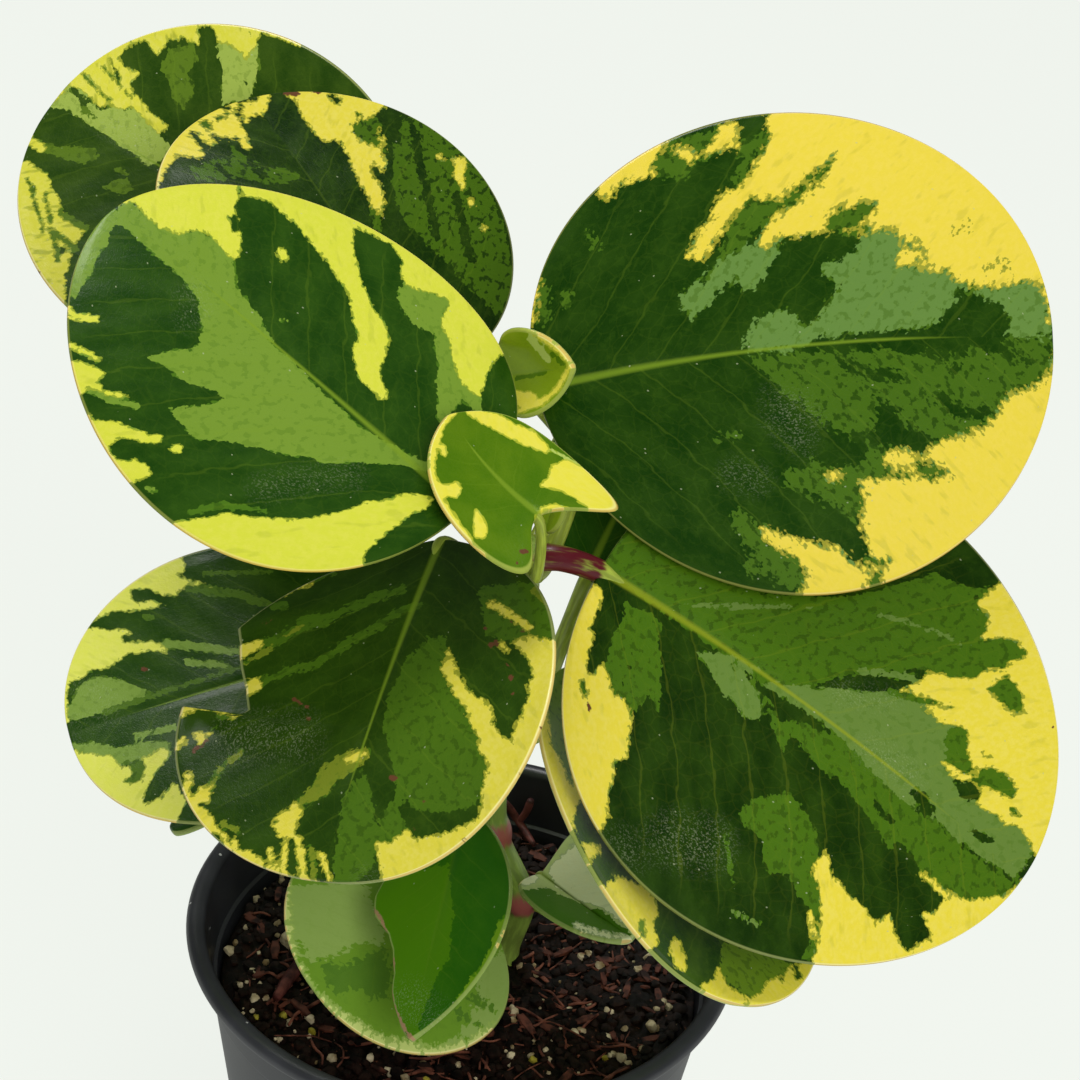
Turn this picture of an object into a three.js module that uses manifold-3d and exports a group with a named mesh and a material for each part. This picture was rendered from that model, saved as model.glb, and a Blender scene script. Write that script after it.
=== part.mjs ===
// Variegated peperomia in a round nursery pot.
// Millimetres, +Z up, front toward -Y, origin in the middle of the pot's flat underside.

import * as THREE from 'three';
import { mergeVertices } from 'three/addons/utils/BufferGeometryUtils.js';
import Module from 'manifold-3d';

const wasm = await Module();
wasm.setup();

// ---- Driving dimensions ------------------------------------------------------------

const FIT_GAP = 0.3; // clearance between pieces that touch

const POT = {
  height: 92,
  rimRadius: 54,
  mouthRadius: 50.2,
  lipHeight: 3.4,
  collarTopRadius: 51,
  collarBottomRadius: 49.7,
  collarHeight: 9,
  collarStep: 0.4,
  rimSteps: 8,
  bodyTopRadius: 49,
  baseRadius: 37.5,
  wall: 1.2,
  floor: 2,
  footRound: 1,
  segments: 48,
};

const DRAIN = { count: 6, radius: 2.8, circleRadius: 29, sides: 12 };

const SOIL = {
  depthBelowRim: 13,
  topRings: 6,
  edgeDrop: 2.5,
  reliefHeight: 1.1,
  grains: 24,
  grainRadius: [1.1, 2.1],
  chips: 12,
  chipSize: [9, 3.2, 2.4],
  scatterRadius: 42,
  stemClearance: 8,
};

const STEM = { sides: 10, stations: 24, swelling: 0.7, swellingReach: 3.2, socketDepth: 20 };

const STALK = { sides: 7, stations: 9, gap: 0.35, lead: 3, sunkTo: 0.12, taper: 0.15, endShare: 0.25 };

const BLADE = { rows: 10, columns: 6, middleThickness: 1.6, edgeThickness: 0.8 };

const SOIL_TOP = POT.height - SOIL.depthBelowRim;
const SOCKET_FLOOR = SOIL_TOP - STEM.socketDepth;

// Stems: points from the foot in the soil to the shoot tip, and the heights of the nodes.
const MAIN_STEM = {
  footRadius: 2.7,
  tipRadius: 2.2,
  points: [
    [9, 5, SOCKET_FLOOR + FIT_GAP],
    [9, 5, SOIL_TOP - 5],
    [9, 5, SOIL_TOP + 3],
    [11, 1, 98],
    [4.7, 0, 115],
    [4, -2, 138],
    [5, -7, 162],
    [5.8, -12, 180],
    [5.8, -16, 191],
  ],
  nodes: [98, 115, 139, 148, 180, 189],
};

const BACK_STEM = {
  footRadius: 2.8,
  tipRadius: 2.2,
  points: [
    [-18, 18, SOCKET_FLOOR + FIT_GAP],
    [-18, 18, SOIL_TOP - 5],
    [-18, 18, SOIL_TOP + 4],
    [-18, 18, 115],
    [-17, 20, 146],
    [-20, 30, 172],
    [-20, 35, 185],
  ],
  nodes: [115, 146, 176],
};

// Leaves. foot is where the blade meets its stalk; heading, rise and bank turn the blade
// (degrees), bend is the droop from foot to tip, cup and fold lift its two halves.
// widest is how far along the blade is broadest, baseRound and tipRound shape its two ends,
// lobe draws the margins back past the foot, skew makes one half the wider, cut holds the
// share of the width left where one half is damaged. stalk says where the stalk leaves its
// stem: height, compass direction and radius, and a point that it bends through.
const LEAVES = {
  leaf_right_upper: {
    foot: [5, 6, 209.5], heading: 11, rise: 15, bank: 45, bend: -18, cup: -7,
    length: 94, width: 89, widest: 0.51, baseRound: 0.48, tipRound: 0.48,
    stalk: { stem: MAIN_STEM, height: 180, direction: 60, radius: 2, via: [13, 4, 198] },
  },
  leaf_left_front: {
    foot: [-5, -28, 204.5], heading: 151, rise: 24, bank: -14, bend: -2, cup: -12,
    length: 81, width: 74.5, widest: 0.44, baseRound: 0.55, tipRound: 0.55,
    stalk: { stem: MAIN_STEM, height: 188, direction: 125, radius: 1.9, via: [-2, -14, 198] },
  },
  leaf_back_middle: {
    foot: [-15, 20, 202], heading: 128, rise: 32, bank: -3, bend: -19, cup: -1,
    length: 71, width: 66, widest: 0.51, baseRound: 0.46, tipRound: 0.46,
    stalk: { stem: BACK_STEM, height: 183, direction: -50, radius: 1.8 },
  },
  leaf_back_left: {
    foot: [-28, 52, 200], heading: 154, rise: 15, bank: -37, bend: -3, cup: 11,
    length: 77, width: 71, widest: 0.49, baseRound: 0.47, tipRound: 0.47,
    stalk: { stem: BACK_STEM, height: 178, direction: 105, radius: 1.8 },
  },
  leaf_centre_bitten: {
    foot: [-9, -8, 185], heading: -101, rise: -8, bank: 17, bend: -22, cup: 19,
    length: 73, width: 68, widest: 0.6, baseRound: 0.48, tipRound: 0.44,
    cut: {
      side: -1,
      line: [[0.36, 1], [0.4, 0.92], [0.47, 0.82], [0.53, 0.73], [0.59, 0.67], [0.605, 0.7], [0.615, 1]],
    },
    stalk: { stem: MAIN_STEM, height: 180, direction: 170, radius: 1.9 },
  },
  leaf_left_low: {
    foot: [-15, 8, 152], heading: 197, rise: -11, bank: -22, bend: -6, cup: 8,
    length: 65, width: 59, widest: 0.51, baseRound: 0.47, tipRound: 0.47,
    stalk: { stem: BACK_STEM, height: 147, direction: -75, radius: 1.8 },
  },
  leaf_left_tip: {
    foot: [-37, -6, 130], heading: 212, rise: -20, bank: 20, bend: -4, cup: 4,
    length: 23, width: 14, widest: 0.43, baseRound: 0.45, tipRound: 0.45,
    stalk: { stem: BACK_STEM, height: 116, direction: 225, radius: 1.1 },
  },
  leaf_right_lower: {
    foot: [19, -14, 186], heading: -13, rise: -22, bank: 38, bend: -14, cup: -1,
    length: 94, width: 88, widest: 0.46, baseRound: 0.51, tipRound: 0.51,
    stalk: { stem: MAIN_STEM, height: 188.5, direction: 0, radius: 2.5 },
  },
  leaf_right_under: {
    foot: [21, 4, 153], heading: -63, rise: -26, bank: -30, bend: 7, cup: 15,
    length: 72, width: 68, widest: 0.51, baseRound: 0.5, tipRound: 0.47,
    stalk: { stem: MAIN_STEM, height: 139, direction: 15, radius: 2 },
  },
  leaf_young_back: {
    foot: [-2, 10, 209.5], heading: -38, rise: 29, bank: 76, bend: -3, cup: 48,
    length: 19, width: 17.7, widest: 0.47, baseRound: 0.45, tipRound: 0.86,
    stalk: { stem: MAIN_STEM, height: 184.5, direction: 105, radius: 1, via: [0, 2, 200] },
  },
  leaf_young_front: {
    foot: [7.5, -28, 205], heading: 147, rise: 13, bank: -8, bend: 33, cup: 8,
    length: 23.5, width: 28.5, widest: 0.45, baseRound: 0.28, tipRound: 0.76, lobe: 1.15, skew: -0.03,
    stalk: { stem: MAIN_STEM, height: 190, direction: -72, radius: 1.1 },
  },
  leaf_bud: {
    foot: [9, -10.5, 190.5], heading: 60, rise: 62, bank: 0, bend: 0, cup: 0, fold: 20,
    length: 8, width: 6, widest: 0.5, baseRound: 0.5, tipRound: 0.5,
    stalk: { stem: MAIN_STEM, height: 189.5, direction: 70, radius: 0.9 },
  },
  leaf_behind_centre: {
    foot: [17, -1, 175], heading: 60, rise: 48, bank: 10, bend: -10, cup: 5,
    length: 42, width: 34, widest: 0.5, baseRound: 0.5, tipRound: 0.5,
    stalk: { stem: MAIN_STEM, height: 148, direction: 25, radius: 1.8, via: [14, 0, 161] },
  },
  leaf_pot_upper: {
    foot: [-1, -4, 123], heading: -97, rise: -19, bank: 27, bend: -3, cup: 14,
    length: 50, width: 32, widest: 0.52, baseRound: 0.46, tipRound: 0.98,
    cut: {
      side: -1,
      line: [
        [0.3, 1], [0.39, 0.97], [0.47, 0.87], [0.55, 0.63], [0.62, 0.54],
        [0.72, 0.51], [0.8, 0.58], [0.91, 0.62], [0.98, 0.8],
      ],
    },
    stalk: { stem: MAIN_STEM, height: 115, direction: 205, radius: 1.6 },
  },
  leaf_pot_lower: {
    foot: [3, -3, 98], heading: -134, rise: 5, bank: -23, bend: -4, cup: 9,
    length: 42, width: 49, widest: 0.52, baseRound: 0.45, tipRound: 0.45,
    stalk: { stem: MAIN_STEM, height: 98, direction: 195, radius: 1.5 },
  },
  leaf_pot_right: {
    foot: [14, -5, 109], heading: -44, rise: -1, bank: 8, bend: 5, cup: 5, fold: 22,
    length: 25, width: 25, widest: 0.47, baseRound: 0.45, tipRound: 0.51, lobe: 0.3, skew: 0.18,
    stalk: { stem: MAIN_STEM, height: 98, direction: -30, radius: 1.4 },
  },
};

// ---- Materials ---------------------------------------------------------------------

const FINISH = {
  pot: { color: '#2b2c2f', roughness: 0.5, metalness: 0 },
  soil: { color: '#2c1d15', roughness: 0.95, metalness: 0 },
  stem: { color: '#9db35a', roughness: 0.45, metalness: 0 },
  leaf: { color: '#4d7a20', roughness: 0.32, metalness: 0 },
  youngLeaf: { color: '#a3b62c', roughness: 0.32, metalness: 0 },
};

const YOUNG = new Set(['leaf_young_back', 'leaf_young_front', 'leaf_bud']);

function piece(name, geometry, finish) {
  const mesh = new THREE.Mesh(geometry, new THREE.MeshStandardMaterial(FINISH[finish]));
  mesh.name = name;
  return mesh;
}

// ---- Solids: joining and cutting ---------------------------------------------------

function toManifold(geometry) {
  const bare = geometry.clone();
  bare.deleteAttribute('normal');
  bare.deleteAttribute('uv');
  const merged = mergeVertices(bare, 1e-4);
  const corners = merged.index.array;
  const triangles = [];
  for (let i = 0; i < corners.length; i += 3) {
    const [a, b, c] = [corners[i], corners[i + 1], corners[i + 2]];
    if (a !== b && b !== c && c !== a) {
      triangles.push(a, b, c);
    }
  }
  return new wasm.Manifold(new wasm.Mesh({
    numProp: 3,
    vertProperties: new Float32Array(merged.attributes.position.array),
    triVerts: new Uint32Array(triangles),
  }));
}

function fromManifold(solid) {
  const mesh = solid.getMesh();
  const geometry = new THREE.BufferGeometry();
  geometry.setAttribute('position', new THREE.BufferAttribute(new Float32Array(mesh.vertProperties), 3));
  geometry.setIndex(new THREE.BufferAttribute(new Uint32Array(mesh.triVerts), 1));
  geometry.computeVertexNormals();
  return geometry;
}

function join(geometries) {
  let solid = toManifold(geometries[0]);
  for (const geometry of geometries.slice(1)) {
    solid = solid.add(toManifold(geometry));
  }
  return fromManifold(solid);
}

function cutAway(geometry, tools) {
  let solid = toManifold(geometry);
  for (const tool of tools) {
    solid = solid.subtract(toManifold(tool));
  }
  return fromManifold(solid);
}

function closedGeometry(points, triangles) {
  const geometry = new THREE.BufferGeometry().setFromPoints(points);
  geometry.setIndex(triangles);
  geometry.computeVertexNormals();
  return geometry;
}

// Upright cylinder of a hole, from one height to another.
function uprightCylinder(x, y, radius, bottom, top, sides) {
  const geometry = new THREE.CylinderGeometry(radius, radius, top - bottom, sides);
  geometry.rotateX(Math.PI / 2);
  geometry.translate(x, y, (top + bottom) / 2);
  return geometry;
}

// Seeded random numbers, so that the scatter is the same each time.
function randomSource(seed) {
  let state = seed;
  return () => {
    state = (Math.imul(state, 1664525) + 1013904223) >>> 0;
    return state / 4294967296;
  };
}

// ---- Pot ---------------------------------------------------------------------------

function turned(profile, segments) {
  const points = profile.map(([radius, height]) => new THREE.Vector2(radius, height));
  return new THREE.LatheGeometry(points, segments).rotateX(Math.PI / 2);
}

// Points round the rolled rim, from under its outer edge over the top to the mouth.
function rolledRim(lipBottom) {
  const halfWidth = (POT.rimRadius - POT.mouthRadius) / 2;
  const halfHeight = POT.lipHeight / 2;
  const points = [];
  for (let step = 0; step <= POT.rimSteps; step += 1) {
    const angle = THREE.MathUtils.degToRad(THREE.MathUtils.lerp(-75, 180, step / POT.rimSteps));
    points.push([
      POT.mouthRadius + halfWidth * (1 + Math.cos(angle)),
      lipBottom + halfHeight * (1 + Math.sin(angle)),
    ]);
  }
  return points;
}

function potGeometry() {
  const lipBottom = POT.height - POT.lipHeight;
  const collarBottom = lipBottom - POT.collarHeight;
  const bodyTop = collarBottom - POT.collarStep;
  const innerBase = POT.baseRadius - POT.wall;
  const profile = [
    [0, 0],
    [POT.baseRadius - POT.footRound, 0],
    [POT.baseRadius, POT.footRound],
    [POT.bodyTopRadius, bodyTop],
    [POT.collarBottomRadius, collarBottom],
    [POT.collarTopRadius, lipBottom],
    ...rolledRim(lipBottom),
    [POT.collarTopRadius - POT.wall, lipBottom],
    [POT.collarBottomRadius - POT.wall, collarBottom],
    [POT.bodyTopRadius - POT.wall, bodyTop],
    [innerBase, POT.floor],
    [0, POT.floor],
  ];
  const holes = [];
  for (let i = 0; i < DRAIN.count; i += 1) {
    const angle = (2 * Math.PI * (i + 0.5)) / DRAIN.count;
    const x = DRAIN.circleRadius * Math.cos(angle);
    const y = DRAIN.circleRadius * Math.sin(angle);
    holes.push(uprightCylinder(x, y, DRAIN.radius, -1, POT.floor + 1, DRAIN.sides));
  }
  return cutAway(turned(profile, POT.segments), holes);
}

// ---- Soil --------------------------------------------------------------------------

function soilHeight(x, y) {
  const ripple = Math.sin(0.21 * x + 1) * Math.cos(0.17 * y) + 0.6 * Math.sin(0.37 * x - 0.29 * y);
  return SOIL_TOP + SOIL.reliefHeight * ripple;
}

function soilRadius(z) {
  const bottomRadius = POT.baseRadius - POT.wall;
  const topRadius = POT.bodyTopRadius - POT.wall;
  const share = (z - POT.floor) / (POT.height - POT.lipHeight - POT.collarHeight - POT.floor);
  return THREE.MathUtils.lerp(bottomRadius, topRadius, Math.min(share, 1)) - 1.3 * FIT_GAP;
}

function soilBody() {
  const bottom = POT.floor + FIT_GAP;
  const shoulder = SOIL_TOP - SOIL.edgeDrop;
  const profile = [[0, bottom], [soilRadius(bottom), bottom], [soilRadius(shoulder), shoulder]];
  for (let ring = SOIL.topRings; ring >= 0; ring -= 1) {
    profile.push([(soilRadius(shoulder) - SOIL.edgeDrop / 2) * (ring / SOIL.topRings), SOIL_TOP]);
  }
  const geometry = turned(profile, POT.segments - 8);
  const position = geometry.attributes.position;
  for (let i = 0; i < position.count; i += 1) {
    if (position.getZ(i) > shoulder + SOIL.edgeDrop / 2) {
      position.setZ(i, soilHeight(position.getX(i), position.getY(i)));
    }
  }
  return geometry;
}

function clearOfStems(x, y) {
  return [MAIN_STEM, BACK_STEM].every(({ points: [[footX, footY]] }) => (
    Math.hypot(x - footX, y - footY) > SOIL.stemClearance));
}

// Grains and chips of the mix, each sunk a good way into the surface.
function soilLumps() {
  const random = randomSource(11);
  const lumps = [];
  while (lumps.length < SOIL.grains + SOIL.chips) {
    const angle = 2 * Math.PI * random();
    const reach = SOIL.scatterRadius * Math.sqrt(random());
    const x = reach * Math.cos(angle);
    const y = reach * Math.sin(angle);
    if (!clearOfStems(x, y)) {
      continue;
    }
    let lump;
    if (lumps.length < SOIL.grains) {
      lump = new THREE.IcosahedronGeometry(THREE.MathUtils.lerp(...SOIL.grainRadius, random()), 0);
    } else {
      lump = new THREE.BoxGeometry(...SOIL.chipSize);
    }
    lump.rotateZ(Math.PI * random());
    lump.rotateX(0.3 * random());
    lump.translate(x, y, soilHeight(x, y) + 0.2);
    lumps.push(lump);
  }
  return lumps;
}

function soilGeometry() {
  const sockets = [MAIN_STEM, BACK_STEM].map(({ points: [[x, y]], footRadius }) => (
    uprightCylinder(x, y, footRadius + 1.5 * FIT_GAP, SOCKET_FLOOR, SOIL_TOP + 10, 16)));
  return cutAway(join([soilBody(), ...soilLumps()]), sockets);
}

// ---- Stems and stalks --------------------------------------------------------------

const vector = ([x, y, z]) => new THREE.Vector3(x, y, z);

// Closed round limb along a curve, with its radius given at each share of the way.
function limb(curve, radiusAt, sides, stations) {
  const points = [];
  const triangles = [];
  for (let row = 0; row <= stations; row += 1) {
    const t = row / stations;
    const centre = curve.getPointAt(t);
    const along = curve.getTangentAt(t);
    const aside = new THREE.Vector3(0.31, 0.95, 0).cross(along).normalize();
    const ahead = new THREE.Vector3().crossVectors(along, aside);
    for (let side = 0; side < sides; side += 1) {
      const angle = (2 * Math.PI * side) / sides;
      points.push(centre.clone()
        .addScaledVector(aside, radiusAt(t) * Math.cos(angle))
        .addScaledVector(ahead, radiusAt(t) * Math.sin(angle)));
    }
  }
  for (let row = 0; row < stations; row += 1) {
    for (let side = 0; side < sides; side += 1) {
      const next = (side + 1) % sides;
      const [a, b] = [row * sides + side, row * sides + next];
      triangles.push(a, b, b + sides, a, b + sides, a + sides);
    }
  }
  const last = stations * sides;
  for (let side = 1; side < sides - 1; side += 1) {
    triangles.push(0, side + 1, side);
    triangles.push(last, last + side, last + side + 1);
  }
  return closedGeometry(points, triangles);
}

const stemCurve = (stem) => new THREE.CatmullRomCurve3(stem.points.map(vector), false, 'centripetal');

function stemRadius(stem, t, height) {
  const swollen = stem.nodes.some((node) => Math.abs(node - height) < STEM.swellingReach);
  const nearest = Math.min(...stem.nodes.map((node) => Math.abs(node - height)));
  const bulge = swollen ? STEM.swelling * (1 - nearest / STEM.swellingReach) : 0;
  return THREE.MathUtils.lerp(stem.footRadius, stem.tipRadius, t) + bulge;
}

function stemGeometry(stem) {
  const curve = stemCurve(stem);
  return limb(curve, (t) => stemRadius(stem, t, curve.getPointAt(t).z), STEM.sides, STEM.stations);
}

// Where a stem passes a given height.
function stemAt(stem, height) {
  const curve = stemCurve(stem);
  let low = 0;
  let high = 1;
  for (let i = 0; i < 24; i += 1) {
    const middle = (low + high) / 2;
    if (curve.getPointAt(middle).z < height) {
      low = middle;
    } else {
      high = middle;
    }
  }
  return {
    centre: curve.getPointAt(low),
    along: curve.getTangentAt(low),
    radius: stemRadius(stem, low, height),
  };
}

function stalkGeometry(leaf) {
  const { centre, radius, along } = stemAt(leaf.stalk.stem, leaf.stalk.height);
  const direction = THREE.MathUtils.degToRad(leaf.stalk.direction);
  const outward = new THREE.Vector3(Math.cos(direction), Math.sin(direction), 0)
    .projectOnPlane(along)
    .normalize();
  const start = centre.clone().addScaledVector(outward, radius + STALK.gap);
  const foot = bladePoint(leaf, 0, 0, -0.6);
  const sunk = bladePoint(leaf, STALK.sunkTo, 0, -0.7);
  const path = [start, start.clone().addScaledVector(outward, STALK.lead)];
  if (leaf.stalk.via) {
    path.push(vector(leaf.stalk.via));
  }
  const curve = new THREE.CatmullRomCurve3([...path, foot, sunk], false, 'centripetal');
  const footShare = 1 - foot.distanceTo(sunk) / curve.getLength();
  const radiusAt = (t) => leaf.stalk.radius * (t < footShare
    ? 1 - STALK.taper * (t / footShare)
    : THREE.MathUtils.lerp(1 - STALK.taper, STALK.endShare, (t - footShare) / (1 - footShare)));
  return limb(curve, radiusAt, STALK.sides, STALK.stations);
}

// ---- Leaf blades -------------------------------------------------------------------

// Chord of an arc: how far its end lies when a length is turned through an angle.
function chord(length, turn) {
  const half = Math.abs(turn) < 1e-6 ? 1e-6 : turn / 2;
  return (length * Math.sin(half)) / half;
}

// Distance from the midrib to the margin of one half, side -1 or 1.
function marginReach(leaf, along, side) {
  const { baseRound, tipRound } = leaf;
  const peak = baseRound / (baseRound + tipRound);
  const p = Math.pow(along, Math.log(peak) / Math.log(leaf.widest));
  const outline = (x) => Math.pow(x, baseRound) * Math.pow(1 - x, tipRound);
  const half = (leaf.width / 2) * (1 + side * (leaf.skew ?? 0));
  const whole = (half * outline(p)) / outline(peak);
  return leaf.cut && leaf.cut.side === side ? whole * cutShare(leaf.cut.line, along) : whole;
}

function cutShare(line, along) {
  for (let i = 1; i < line.length; i += 1) {
    const [from, to] = [line[i - 1], line[i]];
    if (along >= from[0] && along <= to[0]) {
      return THREE.MathUtils.lerp(from[1], to[1], (along - from[0]) / (to[0] - from[0]));
    }
  }
  return 1;
}

// Point on a blade: along 0..1 from foot to tip, across -1..1 between the margins,
// face 1 on the upper skin, -1 on the lower skin and 0 between them.
function bladePoint(leaf, along, across, face) {
  const rad = THREE.MathUtils.degToRad;
  const heading = rad(leaf.heading);
  const bend = rad(leaf.bend);
  const forward = (pitch) => new THREE.Vector3(
    Math.cos(pitch) * Math.cos(heading),
    Math.cos(pitch) * Math.sin(heading),
    Math.sin(pitch),
  );
  const tangent = forward(rad(leaf.rise) + bend * along);
  const level = new THREE.Vector3(-Math.sin(heading), Math.cos(heading), 0);
  const aside = level.clone().applyAxisAngle(tangent, rad(leaf.bank));
  const up = new THREE.Vector3().crossVectors(tangent, aside);

  const side = Math.sign(across);
  const reach = Math.abs(across) * marginReach(leaf, along, side);
  const share = reach / (leaf.width / 2);
  const turn = rad(leaf.cup) * share;
  const lean = rad(leaf.fold ?? 0) + turn / 2;
  const spread = chord(reach, turn);
  const thickness = THREE.MathUtils.lerp(BLADE.middleThickness, BLADE.edgeThickness, across ** 4);

  const normalLean = side * (rad(leaf.fold ?? 0) + turn);
  const normal = up.clone().multiplyScalar(Math.cos(normalLean))
    .addScaledVector(aside, -Math.sin(normalLean));
  const backward = (leaf.lobe ?? 0) * leaf.length * share ** 2 * (1 - along) ** 2;

  return vector(leaf.foot)
    .addScaledVector(forward(rad(leaf.rise) + (bend * along) / 2), chord(leaf.length * along, bend * along))
    .addScaledVector(aside, side * spread * Math.cos(lean))
    .addScaledVector(up, spread * Math.sin(lean))
    .addScaledVector(tangent, -backward)
    .addScaledVector(normal, (face * thickness) / 2);
}

function bladeStations(leaf) {
  const end = 0.004;
  const stations = [];
  for (let row = 0; row <= BLADE.rows; row += 1) {
    const eased = (1 - Math.cos((Math.PI * row) / BLADE.rows)) / 2;
    stations.push(THREE.MathUtils.lerp(end, 1 - end, eased));
  }
  const corners = leaf.cut ? leaf.cut.line.map(([along]) => along) : [];
  const free = stations.filter((s) => corners.every((corner) => Math.abs(corner - s) > 0.02));
  return [...free, ...corners].sort((a, b) => a - b);
}

// Closed plate between the two skins, both split into triangles alike.
function bladeGeometry(leaf) {
  const stations = bladeStations(leaf);
  const rowSize = BLADE.columns + 1;
  const skin = stations.length * rowSize;
  const points = [];
  for (const face of [1, -1]) {
    for (const along of stations) {
      for (let column = 0; column < rowSize; column += 1) {
        const across = (2 * column) / BLADE.columns - 1;
        points.push(bladePoint(leaf, along, across, face));
      }
    }
  }
  const triangles = [];
  const quad = (a, b, c, d) => triangles.push(a, b, c, a, c, d);
  for (let row = 0; row < stations.length - 1; row += 1) {
    for (let column = 0; column < BLADE.columns; column += 1) {
      const [a, b] = [row * rowSize + column, (row + 1) * rowSize + column];
      triangles.push(a, b, b + 1, a, b + 1, a + 1);
      triangles.push(skin + a, skin + b + 1, skin + b, skin + a, skin + a + 1, skin + b + 1);
    }
    const [first, last] = [row * rowSize, row * rowSize + BLADE.columns];
    quad(first, skin + first, skin + first + rowSize, first + rowSize);
    quad(last, last + rowSize, skin + last + rowSize, skin + last);
  }
  const tip = (stations.length - 1) * rowSize;
  for (let column = 0; column < BLADE.columns; column += 1) {
    quad(column, column + 1, skin + column + 1, skin + column);
    quad(tip + column, skin + tip + column, skin + tip + column + 1, tip + column + 1);
  }
  return closedGeometry(points, triangles);
}

// ---- The plant ---------------------------------------------------------------------

const plant = new THREE.Group();
plant.add(piece('pot', potGeometry(), 'pot'));
plant.add(piece('soil', soilGeometry(), 'soil'));
plant.add(piece('stem_main', stemGeometry(MAIN_STEM), 'stem'));
plant.add(piece('stem_back', stemGeometry(BACK_STEM), 'stem'));
for (const [name, leaf] of Object.entries(LEAVES)) {
  const finish = YOUNG.has(name) ? 'youngLeaf' : 'leaf';
  plant.add(piece(name, join([bladeGeometry(leaf), stalkGeometry(leaf)]), finish));
}

export default plant;
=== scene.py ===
import math
import random

import bpy
import numpy as np
from mathutils import Matrix, Vector, noise


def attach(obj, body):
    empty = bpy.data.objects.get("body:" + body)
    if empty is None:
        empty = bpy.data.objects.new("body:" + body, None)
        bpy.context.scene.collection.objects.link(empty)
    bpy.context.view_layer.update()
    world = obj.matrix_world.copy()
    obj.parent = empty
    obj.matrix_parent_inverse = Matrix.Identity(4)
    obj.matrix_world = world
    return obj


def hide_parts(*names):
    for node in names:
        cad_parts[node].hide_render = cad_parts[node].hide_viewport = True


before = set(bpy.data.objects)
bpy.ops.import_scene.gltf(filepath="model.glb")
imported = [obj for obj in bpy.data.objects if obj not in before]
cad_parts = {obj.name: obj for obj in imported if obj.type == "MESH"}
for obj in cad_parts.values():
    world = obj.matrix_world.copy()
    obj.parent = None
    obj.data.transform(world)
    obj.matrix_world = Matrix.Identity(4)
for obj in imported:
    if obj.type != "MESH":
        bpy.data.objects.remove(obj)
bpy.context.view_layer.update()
mm = 0.001


# ---- Camera ---------------------------------------------------------------------------
# A long lens looks down at the plant from the front, turned a few degrees about its own
# axis. Its place and turn follow from how the pot's rim and taper look in the photo.
camera_place = Vector((8.1 * mm, -451.2 * mm, 476.2 * mm))
camera_tilt = math.radians(56.9)
camera_roll = math.radians(5.25)
camera_turn = Matrix.Rotation(camera_tilt, 4, "X") @ Matrix.Rotation(camera_roll, 4, "Z")
photo_side = 1080

camera = bpy.data.objects.new("camera", bpy.data.cameras.new("camera"))
camera.data.lens = 100
camera.data.sensor_width = 36
camera.data.clip_start = 20 * mm
camera.data.dof.use_dof = False
bpy.context.collection.objects.link(camera)
camera.matrix_world = Matrix.Translation(camera_place) @ camera_turn
bpy.context.scene.camera = camera


# ---- Floor and light ------------------------------------------------------------------
# A pale floor and a pale room that glow, less where a glossy leaf would mirror them, one
# soft lamp overhead, and a wider one in front that the leaves don't mirror.
floor_half_side = 4.0
floor_drop = 0.2 * mm
floor_paint = (0.12, 0.124, 0.12, 1)
floor_glow = 0.85
floor_glow_lost_in_gloss = 0.5
room_glow = 0.5
room_glow_lost_in_gloss = 0.42
room_glow_added_in_view = 0.47
plant_middle = Vector((0, 0, 0.15))


def srgb(red, green, blue):
    """The linear colour of an 8 bit colour."""
    shares = (value / 255 for value in (red, green, blue))
    return tuple(s / 12.92 if s < 0.04045 else ((s + 0.055) / 1.055) ** 2.4 for s in shares) + (1,)


def node(tree, kind, sockets=None, **settings):
    """A node with its settings, and its sockets joined to outputs or set to values."""
    made = tree.nodes.new(kind)
    for name, value in settings.items():
        setattr(made, name, value)
    for name, value in (sockets or {}).items():
        if isinstance(value, bpy.types.NodeSocket):
            tree.links.new(value, made.inputs[name])
        else:
            made.inputs[name].default_value = value
    return made


def sums(tree, operation, first, second=0.0, third=0.0, clamp=False):
    """A math node's output."""
    sockets = {0: first, 1: second, 2: third}
    return node(tree, "ShaderNodeMath", sockets, operation=operation, use_clamp=clamp).outputs[0]


def nothing_selected():
    """Leaves edit mode and deselects everything."""
    if bpy.context.object and bpy.context.object.mode == "EDIT":
        bpy.ops.object.mode_set(mode="OBJECT")
    bpy.ops.object.select_all(action="DESELECT")


nothing_selected()
bpy.ops.mesh.primitive_plane_add(size=2 * floor_half_side, location=(0, 0, -floor_drop))
floor = bpy.context.object
floor.name = "floor"
floor_finish = bpy.data.materials.new("pale_floor")
floor_finish.use_nodes = True
tree = floor_finish.node_tree
shader = tree.nodes["Principled BSDF"]
shader.inputs["Base Color"].default_value = floor_paint
shader.inputs["Roughness"].default_value = 1.0
shader.inputs["Specular IOR Level"].default_value = 0.0
shader.inputs["Emission Color"].default_value = srgb(244, 248, 241)
rays = node(tree, "ShaderNodeLightPath").outputs
glow = sums(tree, "MULTIPLY_ADD", rays["Is Glossy Ray"], -floor_glow_lost_in_gloss, floor_glow)
tree.links.new(glow, shader.inputs["Emission Strength"])
floor.data.materials.append(floor_finish)

world = bpy.data.worlds.new("pale_room")
world.use_nodes = True
tree = world.node_tree
backdrop = tree.nodes["Background"]
backdrop.inputs["Color"].default_value = srgb(243, 248, 243)
rays = node(tree, "ShaderNodeLightPath").outputs
glow = sums(tree, "MULTIPLY_ADD", rays["Is Glossy Ray"], -room_glow_lost_in_gloss, room_glow)
glow = sums(tree, "MULTIPLY_ADD", rays["Is Camera Ray"], room_glow_added_in_view, glow)
tree.links.new(glow, backdrop.inputs["Strength"])
bpy.context.scene.world = world
bpy.context.scene.view_settings.view_transform = "Standard"


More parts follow.
